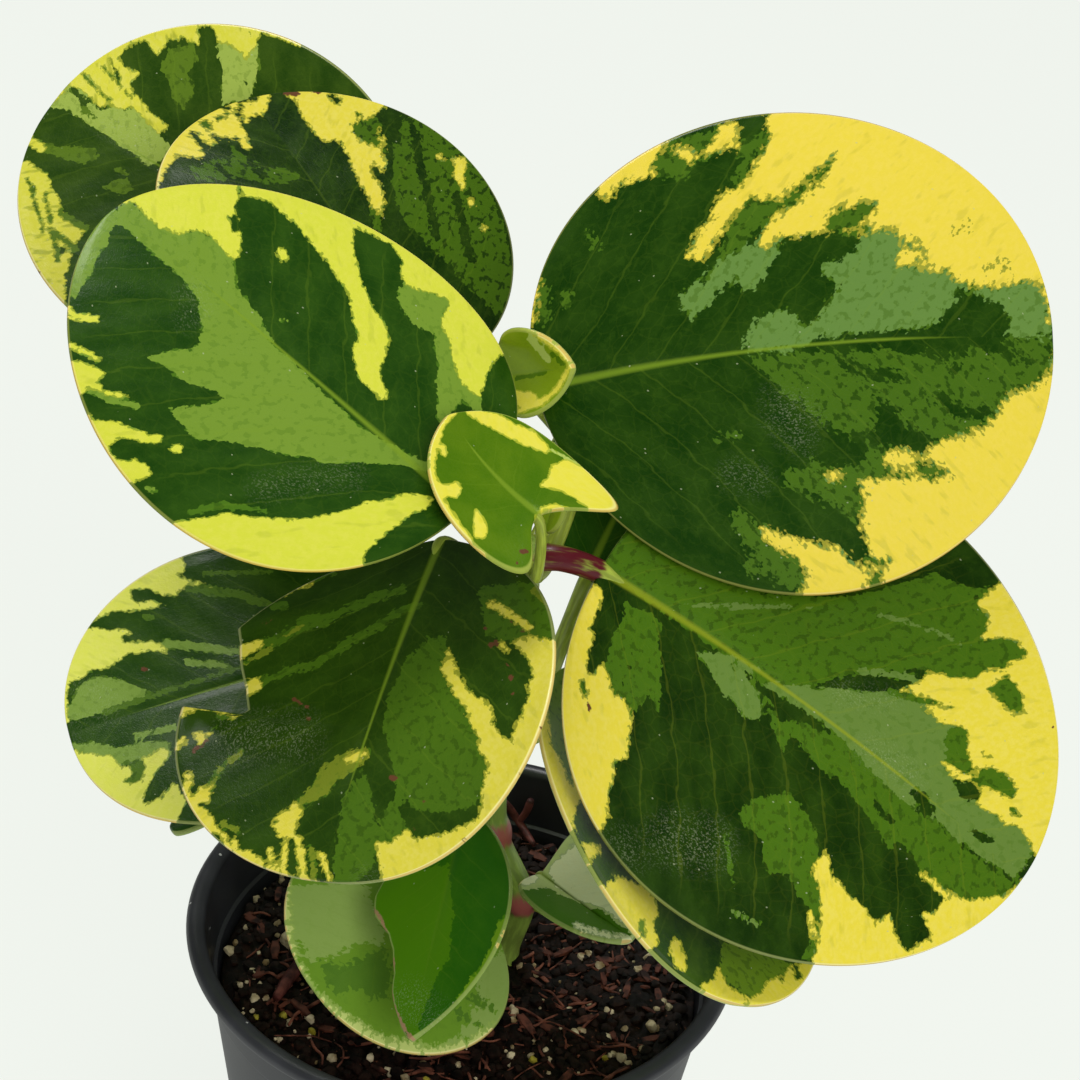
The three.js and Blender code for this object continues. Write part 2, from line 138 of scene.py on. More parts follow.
def soft_lamp(name, place, size, power, mirrored):
    """A round lamp aimed at the middle of the plant."""
    lamp = bpy.data.objects.new(name, bpy.data.lights.new(name, "AREA"))
    lamp.data.shape = "DISK"
    lamp.data.size = size
    lamp.data.energy = power
    lamp.location = place
    lamp.visible_glossy = mirrored
    lamp.rotation_euler = (plant_middle - Vector(place)).to_track_quat("-Z", "Y").to_euler()
    bpy.context.collection.objects.link(lamp)


soft_lamp("overhead_lamp", (-0.25, 0.35, 1.15), 0.5, 5.4, True)
soft_lamp("front_lamp", (0.5, -1.1, 1.0), 1.0, 11.0, False)


# ---- Pot ------------------------------------------------------------------------------
# Injection moulded black plastic nursery pot: tapered wall, collar band, rolled rim and a
# flat bottom with six drain holes. The plastic is satin, faintly mottled and a bit dusty.
pot_height = 92 * mm
rim_radius = 54 * mm
mouth_radius = 50.2 * mm
lip_round = 1.7 * mm
lip_bottom = pot_height - 2 * lip_round
collar_top_radius = 51 * mm
collar_bottom = 79.6 * mm
collar_bottom_radius = 49.7 * mm
collar_ease = 0.6 * mm
body_top = 79.2 * mm
body_top_radius = 49 * mm
body_ring_shares = (0.15, 0.3, 0.45, 0.6, 0.75, 0.9, 0.98, 1)
base_radius = 37.5 * mm
foot_round = 1 * mm
foot_chamfer = 0.3 * mm
crease = 0.1 * mm
pot_wall = 1.2 * mm
pot_floor = 2 * mm
floor_round = 1 * mm
inner_ring_down = 27 * mm
inner_ring_in = 4 * mm
pot_sides = 144
pot_sharpest = math.radians(38)
drain_holes = 6
drain_sides = 32
drain_radius = 2.8 * mm
drain_circle = 29 * mm
drill_length = 8 * mm


def turned_ring(radius, height, last_radius, last_height):
    """Extrudes the selected ring of edges and moves it out and up to its new place."""
    bpy.ops.mesh.extrude_edges_move(
        TRANSFORM_OT_translate={"value": (0, 0, height - last_height)})
    share = radius / last_radius
    bpy.ops.transform.resize(value=(share, share, 1), center_override=(0, 0, height))


nothing_selected()
disc_radius = base_radius - foot_round - 1 * mm
bpy.ops.mesh.primitive_circle_add(
    vertices=pot_sides, radius=disc_radius, fill_type="NGON", location=(0, 0, 0))
pot = bpy.context.object
pot.name = "nursery_pot"
rim_middle = (rim_radius + mouth_radius) / 2
rim_half = (rim_radius - mouth_radius) / 2
rim_height = lip_bottom + lip_round
roll = [math.radians(angle) for angle in range(-75, 181, 15)]
inner_base = base_radius - pot_wall
rings = [
    (base_radius - foot_round, 0), (base_radius - foot_chamfer, foot_chamfer), (base_radius, foot_round),
    *[(base_radius + (body_top_radius - base_radius) * share, foot_round + (body_top - foot_round) * share)
      for share in body_ring_shares],
    (collar_bottom_radius - 1.5 * crease, collar_bottom - crease),
    (collar_bottom_radius, collar_bottom + crease),
    (collar_bottom_radius + crease / 2, collar_bottom + collar_ease),
    (collar_top_radius - crease / 2, lip_bottom - collar_ease),
    (collar_top_radius, lip_bottom - crease / 2),
    *[(rim_middle + rim_half * math.cos(angle), rim_height + lip_round * math.sin(angle)) for angle in roll],
    (collar_top_radius - pot_wall, lip_bottom),
    (collar_bottom_radius - pot_wall, collar_bottom),
    (body_top_radius - pot_wall, body_top),
    (body_top_radius - pot_wall - inner_ring_in, body_top - inner_ring_down),
    (inner_base, pot_floor + floor_round),
    (inner_base - 0.8 * floor_round, pot_floor),
    (inner_base - 2 * floor_round, pot_floor)]
bpy.ops.object.mode_set(mode="EDIT")
bpy.ops.mesh.select_mode(type="EDGE")
bpy.ops.mesh.select_all(action="SELECT")
bpy.ops.mesh.region_to_loop()
last = (disc_radius, 0)
for ring in rings:
    turned_ring(*ring, *last)
    last = ring
bpy.ops.mesh.edge_face_add()
bpy.ops.mesh.select_all(action="SELECT")
bpy.ops.mesh.normals_make_consistent(inside=False)
bpy.ops.object.mode_set(mode="OBJECT")

for hole in range(drain_holes):
    turn = 2 * math.pi * (hole + 0.5) / drain_holes
    nothing_selected()
    bpy.ops.mesh.primitive_cylinder_add(
        vertices=drain_sides, radius=drain_radius, depth=drill_length,
        location=(drain_circle * math.cos(turn), drain_circle * math.sin(turn), pot_floor / 2))
    drill = bpy.context.object
    nothing_selected()
    pot.select_set(True)
    bpy.context.view_layer.objects.active = pot
    cut = pot.modifiers.new("drain", "BOOLEAN")
    cut.operation = "DIFFERENCE"
    cut.solver = "EXACT"
    cut.object = drill
    bpy.ops.object.modifier_apply(modifier="drain")
    bpy.data.objects.remove(drill)
bpy.ops.object.shade_smooth_by_angle(angle=pot_sharpest)


def new_group(name, inputs, outputs):
    """A node group with named inputs and outputs: the group, what it is given, what it puts out."""
    group = bpy.data.node_groups.new(name, "ShaderNodeTree")
    for side, sockets in (("INPUT", inputs), ("OUTPUT", outputs)):
        for label, kind, value in sockets:
            made = group.interface.new_socket(label, in_out=side, socket_type=kind)
            if value is not None:
                made.default_value = value
    return group, group.nodes.new("NodeGroupInput").outputs, group.nodes.new("NodeGroupOutput").inputs


def step(tree, value, low, high):
    """0 on the side of low, 1 on the side of high, smooth between."""
    sockets = {"Value": value, "From Min": low, "From Max": high}
    return node(tree, "ShaderNodeMapRange", sockets, interpolation_type="SMOOTHSTEP").outputs[0]


def blend(tree, share, first, second):
    """The first colour where the share is 0, the second where it is 1."""
    return node(tree, "ShaderNodeMix", {0: share, 6: first, 7: second}, data_type="RGBA").outputs[2]


def cloudiness(tree, place, scale, detail, **more):
    """Soft noise over places, with its scale in turns for each of their units."""
    sockets = {"Vector": place, "Scale": scale, "Detail": detail, **more}
    return node(tree, "ShaderNodeTexNoise", sockets).outputs["Fac"]


def roughened(tree, height, strength, distance):
    """Joins a relief to the shader's normal."""
    bump = node(tree, "ShaderNodeBump", {"Height": height, "Strength": strength, "Distance": distance})
    tree.links.new(bump.outputs[0], tree.nodes["Principled BSDF"].inputs["Normal"])


# Dust: sparse round specks of a few tenths of a millimetre.
specks, given, put_out = new_group(
    "dust_specks",
    [("Place", "NodeSocketVector", None), ("Per metre", "NodeSocketFloat", 600.0),
     ("Size", "NodeSocketFloat", 0.12), ("Share", "NodeSocketFloat", 0.3)],
    [("Mask", "NodeSocketFloat", None)])
cells = node(specks, "ShaderNodeTexVoronoi", {"Vector": given["Place"], "Scale": given["Per metre"]})
near = sums(specks, "LESS_THAN", cells.outputs["Distance"], given["Size"])
chosen = node(specks, "ShaderNodeSeparateColor", {0: cells.outputs["Color"]}).outputs[0]
kept = sums(specks, "LESS_THAN", chosen, given["Share"])
specks.links.new(sums(specks, "MULTIPLY", near, kept), put_out["Mask"])

pot_finish = bpy.data.materials.new("satin_black_plastic")
pot_finish.use_nodes = True
tree = pot_finish.node_tree
shader = tree.nodes["Principled BSDF"]
place = node(tree, "ShaderNodeTexCoord").outputs["Object"]
cloudy = cloudiness(tree, place, 60.0, 4.0)
plain = blend(tree, step(tree, cloudy, 0.35, 0.7), srgb(40, 41, 46), srgb(55, 56, 62))
dust_here = {"Place": place, "Per metre": 260.0, "Size": 0.09, "Share": 0.16}
dust = node(tree, "ShaderNodeGroup", dust_here, node_tree=specks).outputs["Mask"]
tree.links.new(blend(tree, dust, plain, srgb(190, 190, 188)), shader.inputs["Base Color"])
tree.links.new(sums(tree, "MULTIPLY_ADD", cloudy, 0.22, 0.30), shader.inputs["Roughness"])
shader.inputs["Specular IOR Level"].default_value = 0.9
roughened(tree, cloudiness(tree, place, 2200.0, 2.0), 0.12, 0.1 * mm)
pot.data.materials.append(pot_finish)
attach(pot, "root")
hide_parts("pot")


# ---- Potting mix ----------------------------------------------------------------------
# Moist dark peat, filled in loose and pressed round the roots to 13 mm below the rim. Its
# top is rough and crumbled and falls a little towards the wall.
mix_top = 79 * mm
mix_edge_drop = 2.5 * mm
mix_edge_band = 2.4 * mm
mix_bottom = 2.3 * mm
mix_bottom_radius = 35.9 * mm
mix_top_radius = 46.9 * mm
mix_grid = 190
ripple_height = 0.9 * mm
crumb_height = 0.75 * mm
pit_height = 0.4 * mm


def mix_height(x, y):
    """The height of the mix at a place, in metres."""
    a, b = x / mm, y / mm
    ripple = math.sin(0.21 * a + 1) * math.cos(0.17 * b) + 0.6 * math.sin(0.37 * a - 0.29 * b)
    crumbs = noise.fractal(Vector((a * 0.33, b * 0.33, 3)), 0.7, 2.1, 5)
    pits = noise.fractal(Vector((a * 1.1, b * 1.1, 9)), 0.9, 2.0, 3)
    edge = max(0.0, (math.hypot(x, y) - mix_top_radius + mix_edge_band) / mix_edge_band)
    rough = ripple_height * ripple + crumb_height * crumbs + pit_height * pits
    return mix_top + rough * (1 - edge) - mix_edge_drop * edge


nothing_selected()
bpy.ops.mesh.primitive_grid_add(x_subdivisions=mix_grid, y_subdivisions=mix_grid, size=2, location=(0, 0, 0))
mix = bpy.context.object
mix.name = "potting_mix"
for point in mix.data.vertices:
    x, y = point.co.x, point.co.y
    x, y = x * math.sqrt(1 - y * y / 2) * mix_top_radius, y * math.sqrt(1 - x * x / 2) * mix_top_radius
    point.co = (x, y, mix_height(x, y))
bpy.ops.object.mode_set(mode="EDIT")
bpy.ops.mesh.select_mode(type="EDGE")
bpy.ops.mesh.select_all(action="SELECT")
bpy.ops.mesh.region_to_loop()
turned_ring(mix_bottom_radius, mix_bottom, mix_top_radius, mix_top - mix_edge_drop)
bpy.ops.mesh.edge_face_add()
bpy.ops.mesh.select_all(action="SELECT")
bpy.ops.mesh.normals_make_consistent(inside=False)
bpy.ops.object.mode_set(mode="OBJECT")
bpy.ops.object.shade_smooth()

peat = bpy.data.materials.new("moist_peat")
peat.use_nodes = True
tree = peat.node_tree
shader = tree.nodes["Principled BSDF"]
place = node(tree, "ShaderNodeTexCoord").outputs["Object"]
clods = cloudiness(tree, place, 260.0, 6.0, Roughness=0.7)
flecks = cloudiness(tree, place, 900.0, 3.0)
tone = blend(tree, step(tree, clods, 0.42, 0.68), srgb(9, 5, 4), srgb(44, 26, 19))
tone = blend(tree, step(tree, flecks, 0.66, 0.72), tone, srgb(112, 66, 44))
tree.links.new(tone, shader.inputs["Base Color"])
shader.inputs["Roughness"].default_value = 0.8
roughened(tree, clods, 0.8, 0.8 * mm)
mix.data.materials.append(peat)
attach(mix, "root")
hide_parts("soil")


# ---- Crumbs, bark, fibres and perlite ---------------------------------------------------
# What lies loose on the mix: peat crumbs, red-brown bark chips and root fibres, pale
# perlite grains and a few olive slow-release beads, each bedded into the top.
bedded_reach = 45 * mm
bead_size = 1.5 * mm
grain_height = 1 * mm
bit_unevenness = 0.18
bit_sharpest = math.radians(50)
chip_shape = (1.0, 0.42, 0.22)
chip_end_share = 0.6


def seen_spot(pixel_x, pixel_y, height):
    """Where the line of sight through a place in the photo meets a level plane."""
    span = camera.data.sensor_width / camera.data.lens / photo_side
    way = camera_turn.to_3x3() @ Vector(
        ((pixel_x - photo_side / 2) * span, -(pixel_y - photo_side / 2) * span, -1))
    return camera_place + way * ((height - camera_place.z) / way.z)


def scattered(count, seed, reach=bedded_reach):
    """Places spread evenly over the mix."""
    draw = random.Random(seed)
    spots = []
    for _ in range(count):
        turn, far = draw.uniform(0, 2 * math.pi), reach * math.sqrt(draw.random())
        spots.append((far * math.cos(turn), far * math.sin(turn)))
    return spots


def places_of(piece):
    """The places of a piece's points."""
    places = np.empty(len(piece.data.vertices) * 3)
    piece.data.vertices.foreach_get("co", places)
    return places.reshape(-1, 3)


def strewn(name, bit, spots, sizes, seed, finish, sunk=0.25, flat=1.0, level=0.35):
    """One piece of many turned copies of a small shape, bedded at the given spots."""
    draw = random.Random(seed)
    shape = places_of(bit)
    faces = [tuple(face.vertices) for face in bit.data.polygons]
    points, polygons = [], []
    for (x, y), size in zip(spots, sizes):
        turn = (Matrix.Rotation(draw.uniform(0, 2 * math.pi), 3, "Z")
                @ Matrix.Rotation(draw.uniform(-level, level), 3, "X")
                @ Matrix.Rotation(draw.uniform(-level, level), 3, "Y"))
        stretch = np.array([draw.uniform(0.8, 1.25), draw.uniform(0.8, 1.2), flat * draw.uniform(0.8, 1.1)])
        wobble = 1 + bit_unevenness * np.array([draw.uniform(-1, 1) for _ in shape])[:, None]
        start = len(points)
        base = np.array((x, y, mix_height(x, y) + size * flat * (0.5 - sunk)))
        points.extend((shape * wobble * stretch * size) @ np.array(turn).T + base)
        polygons.extend(tuple(start + i for i in face) for face in faces)
    mesh = bpy.data.meshes.new(name)
    mesh.from_pydata([tuple(p) for p in points], [], polygons)
    mesh.update()
    made = bpy.data.objects.new(name, mesh)
    bpy.context.collection.objects.link(made)
    nothing_selected()
    made.select_set(True)
    bpy.context.view_layer.objects.active = made
    bpy.ops.object.shade_smooth_by_angle(angle=bit_sharpest)
    made.data.materials.append(finish)
    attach(made, "root")
    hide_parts("soil")


# Mottle: two tones in soft clouds, with a relief that follows them.
mottle, given, put_out = new_group(
    "mottle",
    [("Place", "NodeSocketVector", None), ("Dark", "NodeSocketColor", None),
     ("Light", "NodeSocketColor", None), ("Per metre", "NodeSocketFloat", 400.0)],
    [("Colour", "NodeSocketColor", None), ("Height", "NodeSocketFloat", None)])
cloudy = cloudiness(mottle, given["Place"], given["Per metre"], 5.0)
two_toned = blend(mottle, step(mottle, cloudy, 0.35, 0.65), given["Dark"], given["Light"])
mottle.links.new(two_toned, put_out["Colour"])
mottle.links.new(cloudy, put_out["Height"])


def mottled_finish(name, dark, light, per_metre, roughness, relief):
    """The matt two-toned finish of a loose bit."""
    made = bpy.data.materials.new(name)
    made.use_nodes = True
    tree = made.node_tree
    shader = tree.nodes["Principled BSDF"]
    own = {"Place": node(tree, "ShaderNodeTexCoord").outputs["Object"], "Dark": dark, "Light": light,
           "Per metre": per_metre}
    mottled = node(tree, "ShaderNodeGroup", own, node_tree=mottle).outputs
    tree.links.new(mottled["Colour"], shader.inputs["Base Color"])
    shader.inputs["Roughness"].default_value = roughness
    roughened(tree, mottled["Height"], relief, 0.3 * mm)
    return made


crumb_finish = mottled_finish("peat_crumb", srgb(12, 7, 6), srgb(38, 22, 16), 500.0, 0.85, 0.6)
bark_finish = mottled_finish("red_brown_bark", srgb(40, 19, 14), srgb(104, 56, 40), 420.0, 0.75, 0.8)
perlite_finish = mottled_finish("perlite", srgb(128, 106, 68), srgb(214, 198, 160), 260.0, 0.8, 0.4)
bead_finish = mottled_finish("slow_release_bead", srgb(132, 118, 30), srgb(176, 164, 58), 500.0, 0.35, 0.1)
fibre_finish = mottled_finish("root_fibre", srgb(62, 28, 20), srgb(132, 78, 58), 300.0, 0.7, 0.5)
twig_finish = mottled_finish("dark_red_twig", srgb(58, 22, 20), srgb(124, 66, 56), 380.0, 0.6, 0.5)

nothing_selected()
bpy.ops.mesh.primitive_cube_add(size=0.6)
pebble = bpy.context.object
bpy.ops.object.mode_set(mode="EDIT")
bpy.ops.mesh.select_all(action="SELECT")
bpy.ops.mesh.subdivide(number_cuts=1, smoothness=0.8)
bpy.ops.object.mode_set(mode="OBJECT")
draw = random.Random(5)
crumb_spots = scattered(1500, 21)
crumb_sizes = [draw.uniform(0.8, 3.0) * mm for _ in crumb_spots]
strewn("peat_crumbs", pebble, crumb_spots, crumb_sizes, 22, crumb_finish, flat=0.75)

# The grains and beads that the photo shows, by pixel, each with its size in millimetres.
perlite_seen = [
    (291, 941, 3.1), (255, 1000, 1.5), (266, 997, 1.2), (257, 896, 1.3), (230, 945, 1.7),
    (238, 983, 1.0), (254, 970, 0.9), (246, 924, 0.9), (600, 967, 1.5), (638, 974, 1.9),
    (664, 1001, 1.6), (669, 1003, 1.3), (678, 1016, 1.2), (652, 1025, 1.8), (625, 1024, 1.0),
    (611, 1012, 0.9), (643, 1046, 1.1), (574, 1033, 1.4), (590, 1000, 0.8)]
perlite_swell = 1.3
perlite_spots = [tuple(seen_spot(x, y, mix_top + grain_height)[:2]) for x, y, _ in perlite_seen]
perlite_sizes = [perlite_swell * size * mm for _, _, size in perlite_seen]
more_spots = scattered(330, 31)
more_sizes = [0.5 * mm * 4 ** draw.random() for _ in more_spots]
strewn("perlite_grains", pebble, perlite_spots + more_spots, perlite_sizes + more_sizes, 32, perlite_finish,
       sunk=0.15)
beads_seen = [(312, 1029, 1.7), (256, 1015, 1.3), (606, 1050, 1.5)]
bead_spots = [tuple(seen_spot(x, y, mix_top + grain_height)[:2]) for x, y, _ in beads_seen]
bead_sizes = [size * mm for _, _, size in beads_seen]
more_spots = scattered(9, 41)
strewn("slow_release_beads", pebble, bead_spots + more_spots, bead_sizes + [bead_size] * len(more_spots), 42,
       bead_finish, sunk=0.1)
bpy.data.objects.remove(pebble)

nothing_selected()
bpy.ops.mesh.primitive_cube_add(size=1)
chip = bpy.context.object
chip.data.transform(Matrix.Diagonal((*chip_shape, 1)))
bpy.ops.object.mode_set(mode="EDIT")
bpy.ops.mesh.select_all(action="SELECT")
bpy.ops.mesh.subdivide(number_cuts=1)
bpy.ops.object.mode_set(mode="OBJECT")
for point in chip.data.vertices:
    if abs(point.co.x) > 0.4 * chip_shape[0]:
        point.co.y *= chip_end_share
        point.co.z *= chip_end_share
chip_spots = scattered(150, 51)
chip_sizes = [draw.uniform(1.2, 4.4) * mm for _ in chip_spots]
strewn("bark_chips", chip, chip_spots, chip_sizes, 52, bark_finish, sunk=0.1, flat=0.8, level=0.3)
bpy.data.objects.remove(chip)


def smooth_path(points, count):
    """Points on a smooth curve through the given ones, as evenly spread as the given ones are."""
    given = np.array(points, float)
    ends = np.vstack([2 * given[0] - given[1], given, 2 * given[-1] - given[-2]])
    path = []
    for share in np.linspace(0, len(given) - 1, count):
        i = min(int(share), len(given) - 2)
        w = share - i
        p0, p1, p2, p3 = ends[i:i + 4]
        d0, d1, d2 = (max(np.linalg.norm(b - a), 1e-6) ** 0.5 for a, b in ((p0, p1), (p1, p2), (p2, p3)))
        t1 = ((p1 - p0) / d0 - (p2 - p0) / (d0 + d1) + (p2 - p1) / d1) * d1
        t2 = ((p2 - p1) / d1 - (p3 - p1) / (d1 + d2) + (p3 - p2) / d2) * d1
        path.append(p1 + t1 * w + (3 * (p2 - p1) - 2 * t1 - t2) * w ** 2 + (2 * (p1 - p2) + t1 + t2) * w ** 3)
    return np.array(path)


def put_vectors(piece, name, values):
    """Stores a vector for each point of a piece."""
    made = piece.data.attributes.new(name, "FLOAT_VECTOR", "POINT")
    made.data.foreach_set("vector", np.ascontiguousarray(values, dtype=np.float32).ravel())


def close_seams(piece):
    """Merges the points that lie on each other, turns the faces outwards and smooths them."""
    nothing_selected()
    piece.select_set(True)
    bpy.context.view_layer.objects.active = piece
    bpy.ops.object.mode_set(mode="EDIT")
    bpy.ops.mesh.select_mode(type="VERT")
    bpy.ops.mesh.select_all(action="SELECT")
    bpy.ops.mesh.remove_doubles(threshold=1e-6)
    bpy.ops.mesh.normals_make_consistent(inside=False)
    bpy.ops.object.mode_set(mode="OBJECT")
    bpy.ops.object.shade_smooth()


def limb(name, path, radii, around):
    """A round limb along a path with a radius at each of its points, and flat closed ends."""
    path = np.vstack([path[:1], path, path[-1:]])
    radii = np.concatenate([[0], radii, [0]])
    nothing_selected()
    bpy.ops.mesh.primitive_grid_add(x_subdivisions=around, y_subdivisions=len(path) - 1, size=2)
    made = bpy.context.object
    made.name = name
    flat = places_of(made)
    turn = np.pi * (flat[:, 0] + 1)
    at = np.rint((flat[:, 1] + 1) / 2 * (len(path) - 1)).astype(int)
    ways = np.gradient(path[1:-1], axis=0)
    ways /= np.linalg.norm(ways, axis=1)[:, None]
    asides = []
    aside = np.cross(ways[0], (0.3, 1.0, 0.2))
    for way in ways:
        aside = aside - way * (aside @ way)
        aside /= np.linalg.norm(aside)
        asides.append(aside)
    asides = np.array(asides)
    ways = np.vstack([ways[:1], ways, ways[-1:]])
    asides = np.vstack([asides[:1], asides, asides[-1:]])
    ups = np.cross(ways, asides)
    out = asides[at] * np.cos(turn)[:, None] + ups[at] * np.sin(turn)[:, None]
    made.data.vertices.foreach_set("co", (path[at] + out * radii[at][:, None]).ravel())
    length = np.concatenate([[0], np.cumsum(np.linalg.norm(np.diff(path, axis=0), axis=1))])
    put_vectors(made, "limb", np.stack([length[at] / mm, np.cos(turn), np.sin(turn)], -1))
    close_seams(made)
    return made


def joined(pieces, name):
    """One piece made of several."""
    nothing_selected()
    for piece in pieces:
        piece.select_set(True)
    bpy.context.view_layer.objects.active = pieces[0]
    bpy.ops.object.join()
    pieces[0].name = name
    return pieces[0]


def tapered(radius, path):
    """A radius for each point of a twig's path: thin at both ends, full near its start."""
    share = np.linspace(0, 1, len(path))
    return radius * np.interp(share, [0, 0.15, 0.8, 1], [0.75, 1, 0.85, 0.6])


fibre_sides = 5
fibre_bend = 0.6
mix_reach = 46 * mm
fibres = []
draw = random.Random(61)
for x, y in scattered(230, 62, 42 * mm):
    turn = draw.uniform(0, 2 * math.pi)
    far = draw.uniform(1.5, 4.0) * mm
    spots = []
    for _ in range(4):
        spots.append((x, y))
        x, y = x + far * math.cos(turn), y + far * math.sin(turn)
        turn += draw.uniform(-fibre_bend, fibre_bend)
    if all(math.hypot(*spot) < mix_reach for spot in spots):
        radius, lift = draw.uniform(0.15, 0.45) * mm, draw.uniform(0.2, 1.2) * mm
        path = smooth_path([(x, y, mix_height(x, y) + lift) for x, y in spots], 2 * len(spots))
        fibres.append(limb("fibre", path, tapered(radius, path), fibre_sides))
fibre_mat = joined(fibres, "root_fibres")
fibre_mat.data.materials.append(fibre_finish)

# The twigs, by pixel: a thick one at the left and a thin forked one at the back.
left_twig_seen = [(303, 960), (290, 977), (276, 998)]
forked_twig_seen = [[(505, 802), (519, 822), (534, 845)], [(531, 800), (526, 812), (519, 822)]]
left_twig_radius = 1.4 * mm
forked_twig_radius = 0.9 * mm
twig_lift = 2 * mm
twig_climb = 0.5 * mm
twig_sides = 9


def leaning_twig(spots_seen, radius):
    """A twig that lies on the mix and, where its sight line passes the wall, leans up against it."""
    points = []
    for pixel_x, pixel_y in spots_seen:
        height = mix_top + twig_lift
        spot = seen_spot(pixel_x, pixel_y, height)
        while math.hypot(spot.x, spot.y) > mix_reach:
            height += twig_climb
            spot = seen_spot(pixel_x, pixel_y, height)
        points.append(tuple(spot))
    path = smooth_path(points, 6 * len(points))
    return limb("twig", path, tapered(radius, path), twig_sides)


twigs = [leaning_twig(left_twig_seen, left_twig_radius)]
twigs += [leaning_twig(branch, forked_twig_radius) for branch in forked_twig_seen]
twig_pair = joined(twigs, "twigs")
twig_pair.data.materials.append(twig_finish)
for litter in (fibre_mat, twig_pair):
    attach(litter, "root")
    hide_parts("soil")


# ---- Stems ----------------------------------------------------------------------------
# Two fleshy round stems, rooted in the mix, light green with fine long streaks, swollen
# and pink at the nodes that the leaves grow from. Sizes and places are in millimetres.
node_swelling = 0.7
node_half_length = 3.2
pink_half_length = 4.0
pink_below = 120
stem_points = 160
stem_sides = 32
main_stem = dict(
    foot_radius=2.7, tip_radius=2.2, nodes=[98, 115, 139, 148, 180, 189],
    points=[(9, 5, 59.3), (9, 5, 74), (9, 5, 82), (11, 1, 98), (4.7, 0, 115), (4, -2, 138), (5, -7, 162),
            (5.8, -12, 180), (5.8, -16, 191)])
back_stem = dict(
    foot_radius=2.8, tip_radius=2.2, nodes=[115, 146, 176],
    points=[(-18, 18, 59.3), (-18, 18, 74), (-18, 18, 83), (-18, 18, 115), (-17, 20, 146), (-20, 30, 172),
            (-20, 35, 185)])


def stem_radii(stem, path):
    """The radius of a stem at each point of its path."""
    share = np.linspace(0, 1, len(path))
    radii = stem["foot_radius"] + (stem["tip_radius"] - stem["foot_radius"]) * share
    for height in stem["nodes"]:
        away = np.abs(path[:, 2] - height) / node_half_length
        radii = np.maximum(radii, radii + node_swelling * np.clip(1 - away ** 2, 0, 1))
    return radii


# Flesh: green with paler long streaks, blushed where the stored blush and a streak are high.
flesh, given, put_out = new_group(
    "flesh",
    [("Green", "NodeSocketColor", None), ("Streak", "NodeSocketColor", None),
     ("Blush", "NodeSocketColor", None), ("Blush from", "NodeSocketFloat", 0.35),
     ("Blush full", "NodeSocketFloat", 0.75)],
    [("Colour", "NodeSocketColor", None), ("Height", "NodeSocketFloat", None)])
along_limb = node(flesh, "ShaderNodeAttribute", attribute_name="limb").outputs["Vector"]
drawn_out = {0: along_limb, 1: (0.12, 1.6, 1.6)}
drawn_out = node(flesh, "ShaderNodeVectorMath", drawn_out, operation="MULTIPLY").outputs[0]
streaks = cloudiness(flesh, drawn_out, 1.6, 4.0)
own_blush = node(flesh, "ShaderNodeAttribute", attribute_name="blush").outputs["Fac"]
uneven = sums(flesh, "ADD", own_blush, sums(flesh, "SUBTRACT", streaks, 0.5))
reddened = step(flesh, uneven, given["Blush from"], given["Blush full"])
streaked = blend(flesh, step(flesh, streaks, 0.4, 0.65), given["Green"], given["Streak"])
flesh.links.new(blend(flesh, reddened, streaked, given["Blush"]), put_out["Colour"])
flesh.links.new(streaks, put_out["Height"])


def fleshy_finish(name, green, blush, blush_from, blush_full):
    """The waxy skin of a stem or a stalk."""
    made = bpy.data.materials.new(name)
    made.use_nodes = True
    tree = made.node_tree
    shader = tree.nodes["Principled BSDF"]
    streak = tuple(min(1, share * 1.5) for share in green[:3]) + (1,)
    own = {"Green": green, "Streak": streak, "Blush": blush,
           "Blush from": blush_from, "Blush full": blush_full}
    skin = node(tree, "ShaderNodeGroup", own, node_tree=flesh).outputs
    tree.links.new(skin["Colour"], shader.inputs["Base Color"])
    shader.inputs["Roughness"].default_value = 0.38
    shader.inputs["Coat Weight"].default_value = 0.2
    roughened(tree, skin["Height"], 0.25, 0.2 * mm)
    return made


def put_shares(piece, name, values):
    """Stores one number for each point of a piece."""
    made = piece.data.attributes.new(name, "FLOAT", "POINT")
    made.data.foreach_set("value", np.ascontiguousarray(values, dtype=np.float32).ravel())


stem_finish = fleshy_finish("fleshy_stem", srgb(128, 152, 62), srgb(172, 92, 84), 0.35, 0.75)
for name, stem in (("main_stem", main_stem), ("back_stem", back_stem)):
    path = smooth_path(stem["points"], stem_points)
    made = limb(name, path * mm, stem_radii(stem, path) * mm, stem_sides)
    heights = places_of(made)[:, 2] / mm
    blush = np.zeros(len(heights))
    for height in stem["nodes"]:
        strength = 0.9 if height < pink_below else 0.5
        blush = np.maximum(blush, strength * np.exp(-((heights - height) / pink_half_length) ** 2))
    put_shares(made, "blush", blush)
    made.data.materials.append(stem_finish)
    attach(made, "root")
    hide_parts("stem_" + name[:4])


# ---- Large leaf, upper right ------------------------------------------------------------
# A leaf is one thick waxy blade, 1.6 mm in the middle and 0.8 mm at its rounded edge, on a
# round stalk that grows from a node of a stem. This one is 94 mm long: dark green, then
# grey-green and yellow beyond its middle. Sizes and places are in millimetres.
middle_thickness = 1.6
edge_thickness = 0.8
edge_round = 0.5
groove_half_width = 0.9
groove_depth = 0.22
keel_depth = 0.35
quilt_depth = 0.02
wave_depth = 0.22
usual_mesh = (264, 250)
even_across = 0.62
even_along = 0.3
usual_vein_gap = 8.5
vein_slant = 0.95
vein_curve = 0.004
vein_stagger = 0.35
rib_foot_half = 1.25
rib_tip_half = 0.12
patch_softness = 0.7
dust_and_sheen_softness = 3.0
stalk_gap = 0.35
stalk_lead = 3
stalk_sunk_to = 0.12
stalk_sunk_by = (0.6, 0.7)
stalk_taper = 0.15
stalk_end_share = 0.25
stalk_points = 48
stalk_sides = 20
blush_reach = (0, 10, 13)
stems = {"main": main_stem, "back": back_stem}
